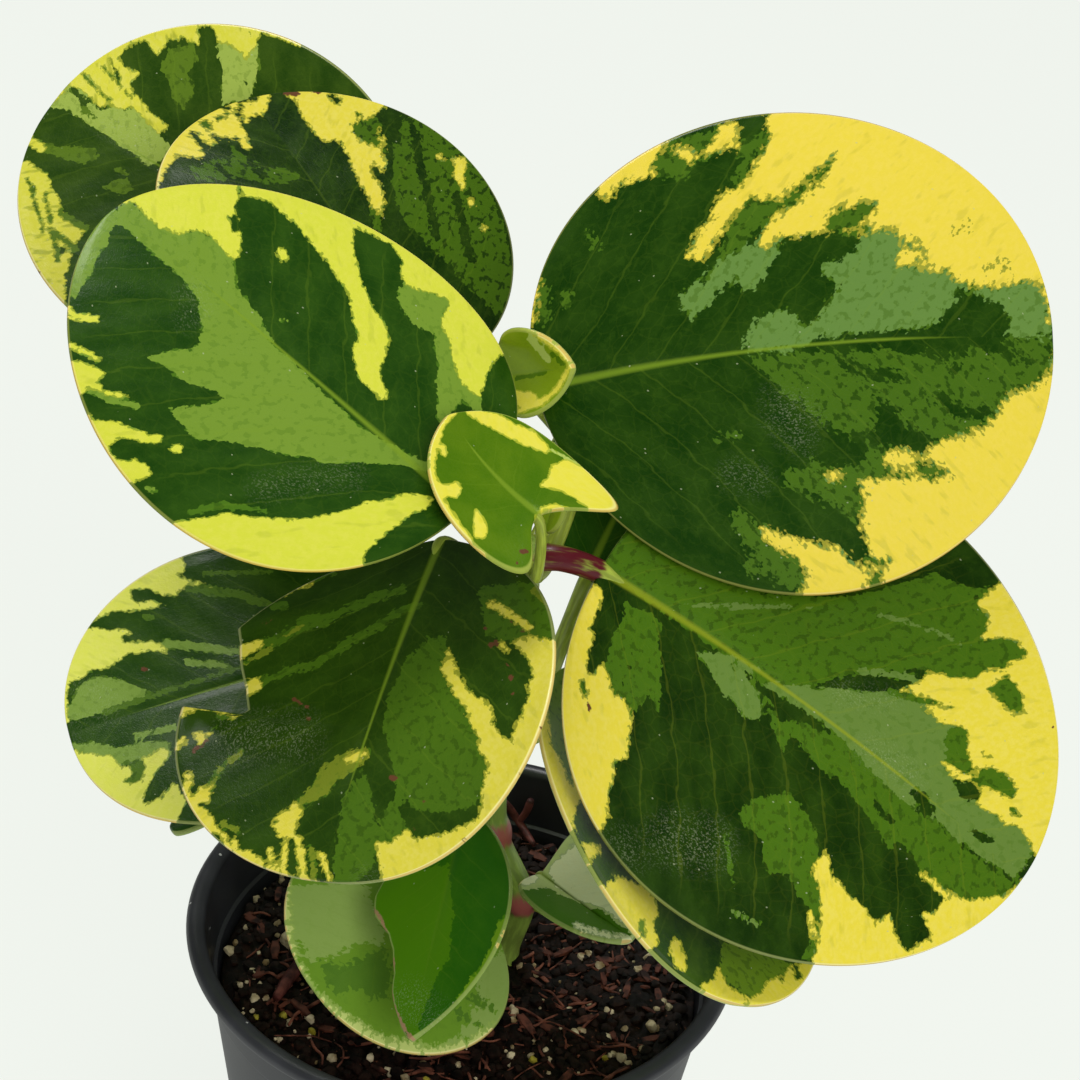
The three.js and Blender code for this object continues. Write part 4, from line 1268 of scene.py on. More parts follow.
# ---- Large leaf, upper left front -------------------------------------------------------
# The nearest of the left leaves, a waxy blade 81 mm long on a stalk from the main stem's
# top node, grey-green and yellow with dark streaks that follow its side veins.
patches = [
    ("pale", 0, (112, 215), (130, 205), (150, 222), (165, 232), (180, 238), (195, 232), (210, 240),
     (222, 250), (232, 262), (235, 275), (236, 290), (246, 300), (252, 312), (260, 322), (268, 340),
     (278, 352), (290, 362), (304, 378), (330, 402), (360, 430), (380, 442), (430, 468), (427, 474),
     (400, 466), (370, 465), (320, 466), (316, 460), (290, 458), (270, 452), (250, 448), (225, 442),
     (200, 440), (190, 436), (182, 425), (175, 418), (168, 412), (180, 410), (200, 408), (215, 404),
     (224, 401), (215, 392), (195, 386), (175, 378), (165, 368), (148, 360), (160, 356), (175, 352),
     (190, 352), (198, 345), (202, 330), (198, 315), (196, 300), (185, 285), (170, 270), (150, 255),
     (135, 240), (120, 228)),
    ("yellow", 0, (108, 212), (120, 192), (160, 176), (200, 172), (240, 178), (235, 192), (238, 200),
     (232, 210), (238, 225), (240, 240), (238, 258), (232, 262), (222, 250), (212, 238), (195, 232),
     (178, 236), (160, 230), (148, 220), (135, 205), (122, 205)),
    ("dark", 0, (226, 220), (236, 216), (240, 230), (236, 240), (230, 236)),
    ("yellow", 0, (240, 178), (300, 190), (330, 200), (354, 222), (350, 240), (352, 252), (356, 268),
     (360, 285), (366, 298), (372, 310), (382, 325), (388, 340), (384, 355), (378, 370), (380, 385),
     (388, 400), (378, 400), (370, 390), (358, 380), (354, 365), (354, 350), (358, 340), (354, 325),
     (352, 310), (348, 295), (336, 278), (325, 262), (312, 248), (300, 232), (290, 222), (280, 215),
     (270, 205), (255, 200), (243, 198)),
    ("pale", 0, (398, 290), (405, 285), (420, 292), (440, 296), (448, 305), (442, 320), (448, 340),
     (454, 360), (458, 380), (475, 396), (480, 400), (478, 418), (460, 404), (448, 418), (440, 430),
     (434, 420), (436, 400), (434, 385), (438, 370), (432, 350), (434, 335), (420, 330), (410, 322),
     (402, 312), (396, 300)),
    ("yellow", 0, (350, 226), (380, 240), (390, 244), (402, 262), (400, 275), (405, 285), (420, 292),
     (440, 296), (450, 302), (445, 315), (440, 325), (448, 340), (452, 355), (456, 372), (460, 385),
     (470, 395), (478, 398), (482, 385), (488, 370), (498, 358), (514, 350), (495, 305), (440, 262),
     (400, 230), (370, 212)),
    ("dark", 0, (482, 422), (484, 395), (490, 372), (500, 358), (522, 358), (524, 424)),
    ("pale", 0, (62, 292), (74, 250), (96, 220), (112, 210), (118, 225), (108, 235), (105, 250), (95, 262),
     (92, 275), (84, 285), (75, 300)),
    ("yellow", 6, (60, 305), (75, 318), (95, 322)),
    ("yellow", 4, (64, 345), (80, 352), (98, 362)),
    ("yellow", 0, (60, 360), (80, 364), (95, 370), (104, 378), (96, 384), (104, 392), (120, 396),
     (128, 400), (115, 402), (100, 396), (88, 390), (78, 395), (66, 385)),
    ("pale", 5, (90, 392), (110, 402), (135, 408)),
    ("yellow", 0, (78, 404), (95, 422), (115, 424), (135, 432), (150, 438), (162, 438), (158, 444),
     (140, 442), (120, 438), (108, 446), (112, 458), (120, 462), (135, 462), (148, 468), (150, 475),
     (140, 480), (125, 484), (104, 474), (84, 440)),
    ("yellow", 6, (174, 450), (178, 450)),
    ("pale", 4, (146, 489), (154, 491)),
    ("yellow", 7, (280, 255), (282, 260)),
    ("pale", 4, (280, 323), (284, 323)),
    ("yellow", 0, (168, 524), (195, 520), (215, 518), (228, 515), (245, 518), (265, 520), (290, 523),
     (320, 520), (350, 512), (365, 506), (385, 504), (400, 498), (412, 498), (432, 502), (424, 510),
     (410, 516), (400, 524), (385, 535), (375, 544), (364, 552), (362, 560), (370, 582), (300, 588),
     (240, 578), (190, 552)),
    ("mid", 6, (190, 513), (225, 506), (265, 512)),
    # Pale flecked patches that paint highlights.
    ("dust", 12, (262, 490), (300, 482), (350, 478)),
    ("dust", 6, (184, 300), (196, 296)),
    ("dust", 6, (186, 322), (200, 312)),
]
grown_leaf("leaf_left_front", dict(
    foot=(-5, -28, 204.5), stance=(151, 24, -14, -2, -12), length=81, width=74.5, widest=0.44,
    rounding=(0.55, 0.55), stalk=("main", 188, 125, 1.9, (-2, -14, 198)), seen=patches),
    Dark=srgb(22, 58, 6), Mid=srgb(70, 108, 22), Pale=srgb(112, 142, 45), Yellow=srgb(205, 208, 62),
    Rim=srgb(236, 222, 120))


# ---- Large leaf, top middle -------------------------------------------------------------
# A waxy blade partly behind the front leaf, on a stalk from the back stem: dark, with a
# yellow wedge from its upper margin and speckled at its left.
patches = [
    ("yellow", 0, (146, 190), (152, 170), (165, 148), (180, 130), (200, 114), (225, 101), (250, 93),
     (270, 90), (266, 108), (262, 118), (252, 118), (246, 124), (240, 118), (236, 128), (242, 136),
     (230, 142), (225, 136), (215, 146), (205, 152), (200, 160), (190, 158), (180, 155), (172, 160),
     (165, 170), (160, 180), (158, 190)),
    ("dark", 7, (222, 108), (228, 112)),
    ("dark", 9, (240, 104), (255, 101)),
    ("mid", 9, (205, 125), (208, 130)),
    ("mid", 7, (218, 122), (225, 120)),
    ("dark", 10, (192, 135), (202, 148)),
    ("dark", 5, (213, 138), (216, 142)),
    ("dark", 6, (240, 112), (238, 118)),
    ("yellow", 5, (222, 135), (236, 130)),
    ("yellow", 5, (240, 135), (246, 150)),
    ("mid", 7, (215, 165), (222, 182)),
    ("mid", 5, (205, 176), (212, 182)),
    ("mid", 4, (232, 150), (238, 162)),
    ("yellow", 0, (283, 86), (300, 85), (330, 84), (360, 87), (384, 95), (385, 108), (375, 112),
     (372, 120), (378, 130), (382, 140), (385, 150), (380, 158), (385, 168), (380, 175), (375, 165),
     (368, 170), (372, 182), (380, 190), (382, 205), (380, 220), (372, 215), (368, 200), (362, 190),
     (358, 180), (352, 172), (350, 162), (345, 155), (342, 145), (332, 142), (322, 143), (315, 135),
     (308, 128), (302, 118), (298, 105), (288, 98)),
    ("mid", 0, (350, 128), (360, 122), (372, 118), (380, 125), (378, 140), (385, 155), (372, 150),
     (360, 145), (352, 138)),
    ("dark", 9, (330, 98), (336, 102)),
    ("mid", 5, (357, 116), (359, 117)),
    ("mid", 0, (398, 150), (402, 118), (430, 122), (460, 148), (488, 188), (506, 236), (512, 290),
     (500, 320), (478, 298), (448, 268), (424, 244), (402, 222), (392, 188)),
    ("dark", 9, (412, 130), (424, 190), (436, 240)),
    ("dark", 8, (455, 200), (470, 262)),
    ("mid", 0, (190, 170), (240, 158), (262, 170), (286, 172), (300, 182), (280, 186), (230, 182),
     (196, 184)),
    ("dark", 6, (216, 170), (226, 178)),
    ("dark", 7, (250, 166), (262, 178)),
    ("mid", 6, (395, 150), (400, 200)),
    ("mid", 6, (372, 215), (378, 232)),
    ("yellow", 6, (455, 163), (462, 168)),
    ("yellow", 3, (463, 160), (455, 178)),
    ("yellow", 3, (460, 175), (462, 190)),
    ("yellow", 4, (470, 205), (471, 206)),
    ("yellow", 3, (482, 230), (483, 231)),
    ("yellow", 3, (440, 160), (441, 161)),
    ("mid", 3, (447, 185), (440, 195)),
    ("mid", 5, (508, 270), (508, 272)),
    ("mid", 4, (500, 262), (500, 263)),
    ("mid", 3, (480, 250), (480, 252)),
    ("scar", 7, (286, 95), (296, 96)),
    ("scar", 5, (314, 93), (320, 94)),
    ("scar", 5, (398, 107), (404, 110)),
    ("scar", 4, (151, 184), (152, 183)),
]
grown_leaf("leaf_back_middle", dict(
    soft=0.9, groove=0.15, foot=(-15, 20, 202), stance=(128, 32, -3, -19, -1), length=71, width=66,
    widest=0.51, rounding=(0.46, 0.46), stalk=("back", 183, -50, 1.8), seen=patches),
    Dark=srgb(12, 40, 2), Mid=srgb(62, 94, 10), Pale=srgb(120, 140, 60), Yellow=srgb(215, 200, 62),
    Mottle=1.0, Rib_share=0.12)


# ---- Large leaf, top left ---------------------------------------------------------------
# The farthest leaf, on a stalk from the back stem: a waxy blade striped yellow,
# grey-green and dark along its side veins.
patches = [
    ("yellow", 5, (50, 104), (80, 80), (115, 52), (150, 34), (190, 24), (210, 24)),
    ("yellow", 0, (66, 85), (85, 68), (100, 56), (122, 44), (118, 60), (125, 68), (138, 75), (130, 85),
     (135, 95), (145, 105), (150, 115), (160, 122), (168, 130), (160, 135), (150, 128), (140, 118),
     (132, 108), (122, 112), (115, 108), (105, 108), (95, 103), (88, 95), (75, 90)),
    ("pale", 0, (50, 108), (62, 98), (70, 88), (80, 92), (92, 105), (100, 112), (112, 110), (125, 112),
     (135, 110), (148, 125), (160, 138), (172, 148), (165, 160), (150, 168), (140, 160), (125, 150),
     (110, 140), (100, 132), (90, 126), (78, 118), (68, 112)),
    ("dark", 8, (75, 92), (85, 105)),
    ("mid", 6, (85, 112), (95, 118)),
    ("yellow", 0, (140, 34), (165, 24), (185, 20), (195, 20), (200, 45), (190, 42), (185, 36), (178, 40),
     (170, 38), (166, 45), (158, 55), (152, 50), (148, 40)),
    ("pale", 0, (218, 45), (232, 42), (245, 55), (258, 45), (260, 70), (255, 88), (248, 102), (225, 106),
     (222, 88), (225, 72), (220, 58)),
    ("yellow", 0, (212, 18), (235, 18), (264, 24), (256, 42), (248, 60), (240, 50), (230, 45), (220, 42)),
    ("dark", 5, (250, 35), (251, 36)),
    ("dark", 4, (248, 83), (249, 84)),
    ("yellow", 3, (262, 30), (300, 44)),
    ("mid", 0, (170, 50), (195, 45), (198, 60), (190, 75), (195, 95), (185, 110), (175, 100), (168, 80),
     (160, 70)),
    ("mid", 0, (38, 142), (60, 148), (95, 150), (100, 160), (85, 165), (60, 160), (45, 155), (38, 150)),
    ("yellow", 7, (26, 138), (42, 150)),
    ("dark", 6, (30, 158), (60, 165)),
    ("yellow", 0, (10, 160), (30, 165), (40, 172), (48, 175), (50, 190), (58, 200), (62, 212), (75, 225),
     (85, 232), (75, 245), (70, 260), (65, 275), (65, 310), (45, 300), (20, 250), (8, 200)),
    ("mid", 8, (60, 215), (85, 230)),
    ("mid", 8, (55, 235), (75, 250)),
    ("dark", 8, (61, 252), (63, 253)),
    ("mid", 4, (35, 190), (35, 191)),
    ("mid", 0, (105, 190), (115, 182), (130, 182), (135, 192), (120, 196)),
    ("mid", 5, (118, 172), (128, 176)),
    ("scar", 3, (38, 272), (39, 273)),
    ("scar", 3, (141, 33), (142, 32)),
    ("mid", 5, (84, 76), (112, 104)),
    ("mid", 4, (104, 68), (132, 100)),
    ("dark", 4, (110, 60), (120, 78)),
    ("mid", 6, (46, 196), (58, 262)),
    ("mid", 5, (28, 180), (44, 232)),
    # A pale flecked patch that paints a highlight.
    ("dust", 14, (112, 125), (150, 145)),
]
grown_leaf("leaf_back_left", dict(
    foot=(-28, 52, 200), stance=(154, 15, -37, -3, 11), length=77, width=71, widest=0.49,
    rounding=(0.47, 0.47), stalk=("back", 178, 105, 1.8), seen=patches),
    Dark=srgb(30, 60, 6), Mid=srgb(84, 112, 24), Pale=srgb(150, 170, 72), Yellow=srgb(208, 204, 62),
    Lime=0.8)


# ---- Large leaf, centre -----------------------------------------------------------------
# The leaf in front, on a stalk from the main stem: a waxy blade 73 mm long, its left
# margin bitten to a notch with a torn corner, dark with olive streaks and yellow below.
patches = [
    ("mid", 0, (390, 700), (405, 665), (430, 640), (450, 640), (445, 672), (465, 706), (478, 733),
     (484, 755), (488, 777), (482, 800), (470, 810), (440, 815), (415, 810), (400, 790), (392, 760),
     (385, 730)),
    ("mid", 0, (480, 590), (530, 585), (552, 590), (556, 640), (515, 645), (490, 640), (484, 615)),
    ("mid", 0, (404, 589), (380, 594), (365, 600), (354, 605), (338, 613), (317, 617), (302, 617),
     (296, 628), (280, 635), (265, 642), (259, 645), (259, 651), (275, 646), (294, 638), (312, 634),
     (328, 630), (338, 622), (354, 616), (365, 609), (380, 605), (394, 601), (407, 595)),
    ("mid", 7, (420, 607), (402, 614), (380, 629), (359, 641), (338, 654), (317, 667), (302, 671),
     (283, 676), (267, 683), (252, 689)),
    ("yellow", 0, (234, 648), (262, 645), (261, 650), (249, 655), (236, 661)),
    ("pale", 2, (244, 666), (260, 659), (280, 645), (302, 630)),
    ("yellow", 0, (245, 684), (259, 680), (261, 689), (246, 698)),
    ("yellow", 0, (318, 576), (309, 587), (294, 591), (276, 600), (282, 588), (299, 577)),
    ("mid", 4, (317, 580), (337, 576)),
    ("mid", 6, (273, 608), (286, 610)),
    ("scar", 2, (264, 627), (272, 624)),
    ("yellow", 0, (174, 712), (188, 692), (204, 699), (196, 709), (183, 716)),
    ("yellow", 4, (218, 709), (232, 718)),
    ("mid", 5, (225, 716), (210, 735)),
    ("yellow", 0, (196, 735), (210, 735), (199, 744)),
    ("scar", 3, (194, 752), (208, 742)),
    ("yellow", 4, (171, 751), (184, 743)),
    ("yellow", 7, (190, 778), (184, 796)),
    ("pale", 5, (208, 792), (222, 770), (241, 754)),
    ("yellow", 0, (201, 791), (212, 788), (209, 801), (198, 806), (214, 820), (217, 832), (205, 836),
     (184, 806)),
    ("yellow", 3, (222, 834), (228, 848)),
    ("yellow", 3, (235, 842), (240, 857)),
    ("yellow", 4, (248, 854), (262, 864)),
    ("pale", 4, (225, 826), (238, 832)),
    ("yellow", 0, (275, 828), (280, 817), (294, 807), (299, 804), (304, 812), (299, 820), (296, 828),
     (294, 838), (280, 836)),
    ("pale", 0, (369, 752), (367, 767), (354, 772), (338, 785), (328, 796), (317, 804), (302, 809),
     (302, 801), (312, 791), (317, 778), (328, 767), (341, 759), (354, 754)),
    ("yellow", 5, (350, 762), (366, 756)),
    ("mid", 0, (345, 800), (365, 775), (372, 790), (378, 830), (376, 870), (350, 890), (335, 884),
     (338, 840)),
    ("yellow", 4, (270, 850), (275, 872)),
    ("yellow", 4, (286, 845), (284, 878)),
    ("yellow", 5, (300, 842), (305, 882)),
    ("pale", 4, (312, 850), (317, 882)),
    ("yellow", 3, (323, 856), (331, 884)),
    ("yellow", 4, (230, 853), (262, 870), (290, 881), (325, 888)),
    ("mid", 0, (378, 830), (386, 817), (391, 804), (402, 791), (404, 805), (399, 812), (407, 822),
     (408, 830), (402, 836), (394, 846), (380, 850)),
    ("yellow", 0, (380, 846), (394, 846), (402, 838), (408, 830), (415, 843), (428, 841), (441, 838),
     (454, 834), (465, 828), (478, 822), (486, 814), (494, 834), (470, 850), (449, 862), (423, 878),
     (402, 888), (386, 894)),
    ("yellow", 0, (517, 645), (533, 641), (556, 643), (562, 657), (560, 683), (552, 717), (542, 748),
     (528, 777), (512, 804), (486, 830), (483, 804), (486, 788), (488, 778), (490, 762), (483, 751),
     (478, 733), (472, 720), (465, 707), (454, 691), (445, 672), (450, 654), (455, 662), (459, 678),
     (467, 688), (475, 699), (486, 704), (492, 712), (496, 730), (504, 741), (515, 743), (517, 730),
     (525, 714), (532, 696), (530, 688), (537, 678), (530, 662), (522, 651)),
    ("yellow", 5, (494, 608), (509, 617), (530, 629)),
    ("yellow", 4, (504, 648), (508, 652)),
    ("pale", 7, (536, 594), (546, 602)),
    ("scar", 5, (393, 780), (398, 779)),
    ("scar", 3, (294, 702), (309, 710)),
    ("scar", 4, (309, 721), (310, 721)),
    ("scar", 6, (493, 648), (499, 646)),
    ("scar", 5, (513, 680), (514, 680)),
    ("scar", 4, (515, 696), (516, 696)),
    ("scar", 3, (509, 668), (510, 668)),
    ("scar", 4, (524, 634), (525, 634)),
    ("scar", 2.5, (513, 625), (514, 625)),
    ("scar", 3, (487, 632), (488, 632)),
    ("scar", 3, (424, 803), (425, 803)),
    ("scar", 3, (465, 841), (466, 841)),
    ("scar", 3, (521, 775), (522, 775)),
    ("scar", 3, (542, 728), (543, 728)),
    ("scar", 2.5, (415, 832), (416, 832)),
    # Pale flecked patches that paint the blade's sheen and a highlight.
    ("dust", 40, (235, 740), (300, 740)),
    ("dust", 6, (368, 880), (378, 884)),
]
grown_leaf("leaf_centre_bitten", dict(
    soft=1.0, foot=(-9, -8, 185), stance=(-101, -8, 17, -22, 19), length=73, width=68, widest=0.6,
    rounding=(0.48, 0.44),
    bite=(-1, [(0.36, 1), (0.4, 0.92), (0.47, 0.82), (0.53, 0.73), (0.59, 0.67), (0.605, 0.7), (0.615, 1)]),
    stalk=("main", 180, 170, 1.9), seen=patches),
    Dark=srgb(28, 56, 5), Mid=srgb(68, 102, 18), Pale=srgb(114, 128, 30), Yellow=srgb(215, 203, 64))


# ---- Large leaf, low left ---------------------------------------------------------------
# Half under the bitten leaf, on a stalk from the back stem: a waxy blade, yellow at its
# left margin and below, with dark bands.
patches = [
    ("yellow", 0, (158, 560), (180, 552), (185, 570), (175, 577), (190, 582), (215, 590), (205, 592),
     (185, 590), (175, 592), (180, 600), (165, 597), (150, 592), (130, 590), (137, 597), (155, 602),
     (165, 607), (150, 610), (130, 612), (115, 612), (105, 615), (86, 624), (94, 600), (122, 578)),
    ("dark", 0, (129, 595), (135, 592), (150, 591), (151, 596), (165, 599), (180, 600), (180, 606),
     (165, 606), (155, 602), (137, 606), (132, 600)),
    ("mid", 9, (190, 590), (240, 597), (268, 605)),
    ("mid", 5, (205, 575), (270, 573)),
    ("mid", 6, (147, 620), (151, 620)),
    ("yellow", 0, (80, 628), (105, 632), (125, 632), (132, 636), (122, 640), (127, 644), (155, 642),
     (167, 642), (172, 646), (167, 654), (155, 652), (140, 654), (130, 655), (120, 660), (115, 665),
     (105, 670), (95, 671), (87, 675), (80, 680), (70, 683), (66, 695), (70, 720), (62, 732), (54, 700),
     (62, 658), (72, 638)),
    ("dark", 6, (126, 640), (150, 640), (164, 644)),
    ("pale", 8, (168, 646), (205, 650), (240, 653)),
    ("pale", 7, (188, 664), (228, 668)),
    ("scar", 4, (144, 671), (147, 672)),
    ("pale", 0, (78, 690), (90, 680), (105, 678), (120, 682), (140, 690), (155, 695), (135, 705),
     (110, 712), (90, 718), (72, 722), (68, 712)),
    # Pale flecked streaks that paint highlights.
    ("dust", 6, (74, 724), (108, 714)),
    ("dust", 9, (82, 690), (112, 692)),
    ("mid", 4, (105, 715), (160, 695), (200, 682), (240, 670)),
    ("pale", 6, (138, 738), (175, 730)),
    ("pale", 0, (72, 745), (95, 745), (120, 750), (140, 745), (160, 742), (172, 745), (170, 765),
     (150, 770), (130, 765), (105, 768), (85, 765)),
    ("yellow", 0, (60, 750), (92, 757), (115, 760), (122, 772), (137, 765), (147, 760), (155, 755),
     (165, 752), (172, 757), (170, 765), (160, 772), (152, 785), (147, 795), (145, 805), (162, 800),
     (175, 785), (178, 790), (186, 803), (176, 824), (170, 836), (130, 826), (84, 798)),
    ("mid", 0, (127, 765), (140, 762), (148, 770), (142, 785), (130, 786), (125, 782), (133, 775)),
    ("dark", 7, (172, 762), (165, 772), (155, 787), (146, 803)),
]
grown_leaf("leaf_left_low", dict(
    foot=(-15, 8, 152), stance=(197, -11, -22, -6, 8), length=65, width=59, widest=0.51,
    rounding=(0.47, 0.47), stalk=("back", 147, -75, 1.8), seen=patches),
    Dark=srgb(28, 62, 6), Mid=srgb(78, 110, 26), Pale=srgb(122, 150, 62), Yellow=srgb(222, 224, 90))


# ---- Leaf tip, low left -----------------------------------------------------------------
# A small dark green blade on a long thin stalk from the back stem's low node. Only its
# round tip shows below the leaf above it.
grown_leaf("leaf_left_tip", dict(
    foot=(-37, -6, 130), stance=(212, -20, 20, -4, 4), length=23, width=14, widest=0.43,
    rounding=(0.45, 0.45), mesh=(96, 90), vein_gap=4, stalk=("back", 116, 225, 1.1),
    paint=[("mid", 2, (0.0, 0.0), (0.5, 0.0))]))


# ---- Largest leaf, lower right ----------------------------------------------------------
# A waxy blade 94 mm long, hanging to the right on a thick stalk streaked with maroon.
# Grey-green above its midrib, dark below it, with yellow wedges towards its tip.
patches = [
    ("mid", 0, (596, 556), (620, 524), (660, 544), (700, 570), (760, 594), (850, 598), (920, 578),
     (935, 573), (950, 580), (972, 586), (1000, 586), (993, 592), (984, 597), (972, 598), (981, 604),
     (987, 620), (987, 627), (978, 635), (1000, 637), (1012, 639), (1018, 647), (1026, 657), (1018, 663),
     (1008, 665), (1000, 672), (990, 672), (980, 678), (968, 681), (950, 680), (926, 674), (911, 668),
     (860, 672), (800, 688), (760, 684), (700, 640), (650, 604), (610, 575)),
    ("dark", 0, (935, 571), (960, 550), (975, 540), (992, 560), (1004, 577), (1004, 585), (984, 585),
     (969, 585), (957, 582), (948, 577)),
    ("pale", 3, (677, 606), (810, 608)),
    ("pale", 2, (872, 613), (899, 621), (923, 629), (941, 635), (960, 647)),
    ("pale", 6, (859, 672), (911, 678)),
    ("pale", 7, (722, 658), (754, 671)),
    ("pale", 0, (695, 652), (713, 676), (720, 692), (732, 704), (744, 719), (762, 719), (759, 695),
     (744, 676), (720, 658)),
    ("mid", 0, (762, 695), (768, 713), (774, 737), (786, 767), (804, 786), (812, 783), (801, 761),
     (789, 743), (780, 725), (768, 701)),
    ("mid", 0, (835, 738), (866, 765), (890, 792), (911, 811), (935, 823), (960, 847), (984, 865),
     (1002, 877), (1016, 880), (1002, 896), (978, 900), (960, 900), (941, 892), (920, 874), (911, 856),
     (896, 841), (884, 853), (869, 823), (851, 801), (835, 780), (808, 762), (790, 744), (780, 725),
     (790, 720)),
    ("mid", 0, (744, 804), (762, 798), (780, 792), (810, 805), (820, 850), (812, 870), (818, 890),
     (820, 912), (816, 930), (818, 945), (814, 958), (800, 960), (810, 940), (810, 910), (798, 898),
     (786, 876), (768, 873), (759, 855), (762, 840), (747, 828), (738, 816)),
    ("mid", 4, (723, 837), (732, 882)),
    ("pale", 4, (732, 912), (756, 924)),
    ("pale", 0, (790, 686), (829, 689), (890, 692), (905, 698), (947, 711), (954, 723), (960, 732),
     (960, 762), (942, 768), (948, 780), (960, 786), (978, 801), (1002, 824), (1020, 829), (1029, 841),
     (1031, 853), (1023, 865), (1014, 877), (1002, 871), (978, 856), (954, 838), (935, 820), (911, 808),
     (890, 792), (866, 765), (835, 735), (814, 717), (780, 697), (760, 684)),
    ("dark", 0, (775, 770), (790, 732), (808, 759), (823, 780), (844, 789), (860, 811), (878, 838),
     (893, 865), (905, 883), (911, 898), (917, 917), (929, 932), (920, 944), (902, 945), (896, 932),
     (890, 923), (881, 914), (872, 923), (863, 904), (854, 898), (844, 883), (835, 877), (826, 865),
     (820, 853), (814, 829), (802, 811), (790, 792)),
    ("dark", 4, (870, 803), (890, 822)),
    ("yellow", 0, (984, 597), (1008, 578), (1042, 635), (1064, 686), (1068, 738), (1062, 808), (1048, 858),
     (1032, 853), (1029, 841), (1017, 823), (1002, 824), (999, 817), (984, 808), (972, 803), (978, 792),
     (972, 786), (960, 780), (948, 774), (942, 762), (954, 771), (972, 777), (963, 759), (966, 744),
     (960, 729), (948, 724), (935, 720), (923, 708), (905, 695), (896, 692), (911, 686), (920, 683),
     (926, 674), (942, 677), (960, 680), (972, 680), (987, 671), (999, 671), (1008, 665), (1026, 656),
     (1020, 644), (1011, 638), (996, 638), (981, 638), (987, 629), (987, 617), (978, 602)),
    ("mid", 7, (892, 694), (920, 700), (947, 708)),
    ("mid", 0, (945, 728), (958, 727), (965, 735), (963, 748), (968, 757), (972, 770), (960, 772),
     (945, 760), (942, 745)),
    ("mid", 0, (975, 768), (990, 766), (1003, 773), (1012, 782), (1016, 790), (1010, 800), (998, 795),
     (985, 790), (972, 783)),
    ("mid", 7, (1010, 810), (1015, 815)),
    ("mid", 3, (980, 752), (988, 757)),
    ("mid", 0, (999, 677), (1008, 674), (1017, 686), (1023, 698), (1025, 714), (1014, 715), (1002, 708),
     (993, 698), (984, 689)),
    ("dark", 0, (905, 788), (915, 788), (925, 795), (932, 808), (935, 818), (925, 815), (912, 803)),
    ("dark", 0, (955, 784), (970, 782), (978, 790), (976, 800), (965, 803), (957, 796)),
    ("dark", 8, (972, 832), (988, 842)),
    ("yellow", 0, (920, 914), (932, 914), (944, 901), (960, 901), (984, 900), (1002, 897), (1020, 882),
     (998, 926), (955, 952), (920, 968), (905, 960), (917, 944), (932, 941), (929, 926)),
    ("yellow", 4, (920, 874), (941, 892), (958, 900)),
    ("yellow", 0, (823, 853), (829, 877), (838, 883), (844, 895), (854, 901), (863, 911), (875, 926),
     (887, 914), (893, 935), (902, 947), (915, 968), (817, 974), (812, 962), (819, 941), (820, 914),
     (819, 892), (811, 871)),
    ("yellow", 2, (808, 914), (813, 938)),
    ("yellow", 0, (592, 585), (570, 620), (556, 655), (548, 692), (552, 737), (564, 780), (576, 813),
     (592, 848), (601, 826), (608, 818), (605, 806), (608, 788), (613, 776), (612, 762), (626, 757),
     (627, 735), (630, 716), (626, 700), (618, 690), (605, 668), (603, 660), (590, 676), (586, 670),
     (590, 650), (595, 633), (590, 628), (598, 612), (602, 592)),
    ("mid", 0, (620, 601), (628, 600), (631, 615), (630, 655), (624, 675), (620, 690), (626, 698),
     (618, 700), (608, 690), (604, 668), (606, 650), (612, 630), (622, 618)),
    ("mid", 0, (630, 610), (650, 613), (659, 625), (659, 661), (660, 695), (658, 719), (653, 707),
     (647, 696), (641, 704), (630, 713), (623, 698), (626, 676), (630, 658)),
    ("dark", 0, (606, 583), (620, 601), (623, 616), (611, 631), (604, 652), (601, 664), (589, 676),
     (586, 673), (589, 652), (595, 634), (589, 631), (598, 613), (604, 595)),
    ("mid", 7, (580, 684), (584, 696)),
    ("scar", 3, (587, 704), (589, 711)),
    ("scar", 2.5, (1052, 726), (1052, 727)),
    # Pale flecked patches: partly dust, partly painted sheen.
    ("dust", 24, (620, 845), (630, 855)),
    ("dust", 45, (670, 840), (705, 845)),
    ("dust", 16, (872, 750), (908, 776)),
    ("dust", 8, (840, 694), (888, 702)),
]
grown_leaf("leaf_right_lower", dict(
    soft=0.9, foot=(19, -14, 186), stance=(-13, -22, 38, -14, -1), length=94, width=88, widest=0.46,
    rounding=(0.51, 0.51), stalk=("main", 188.5, 0, 2.5), seen=patches),
    Dark=srgb(15, 42, 2), Mid=srgb(68, 104, 14), Pale=srgb(98, 126, 52), Yellow=srgb(227, 208, 62),
    Rib=srgb(140, 152, 28), blush=0.62)


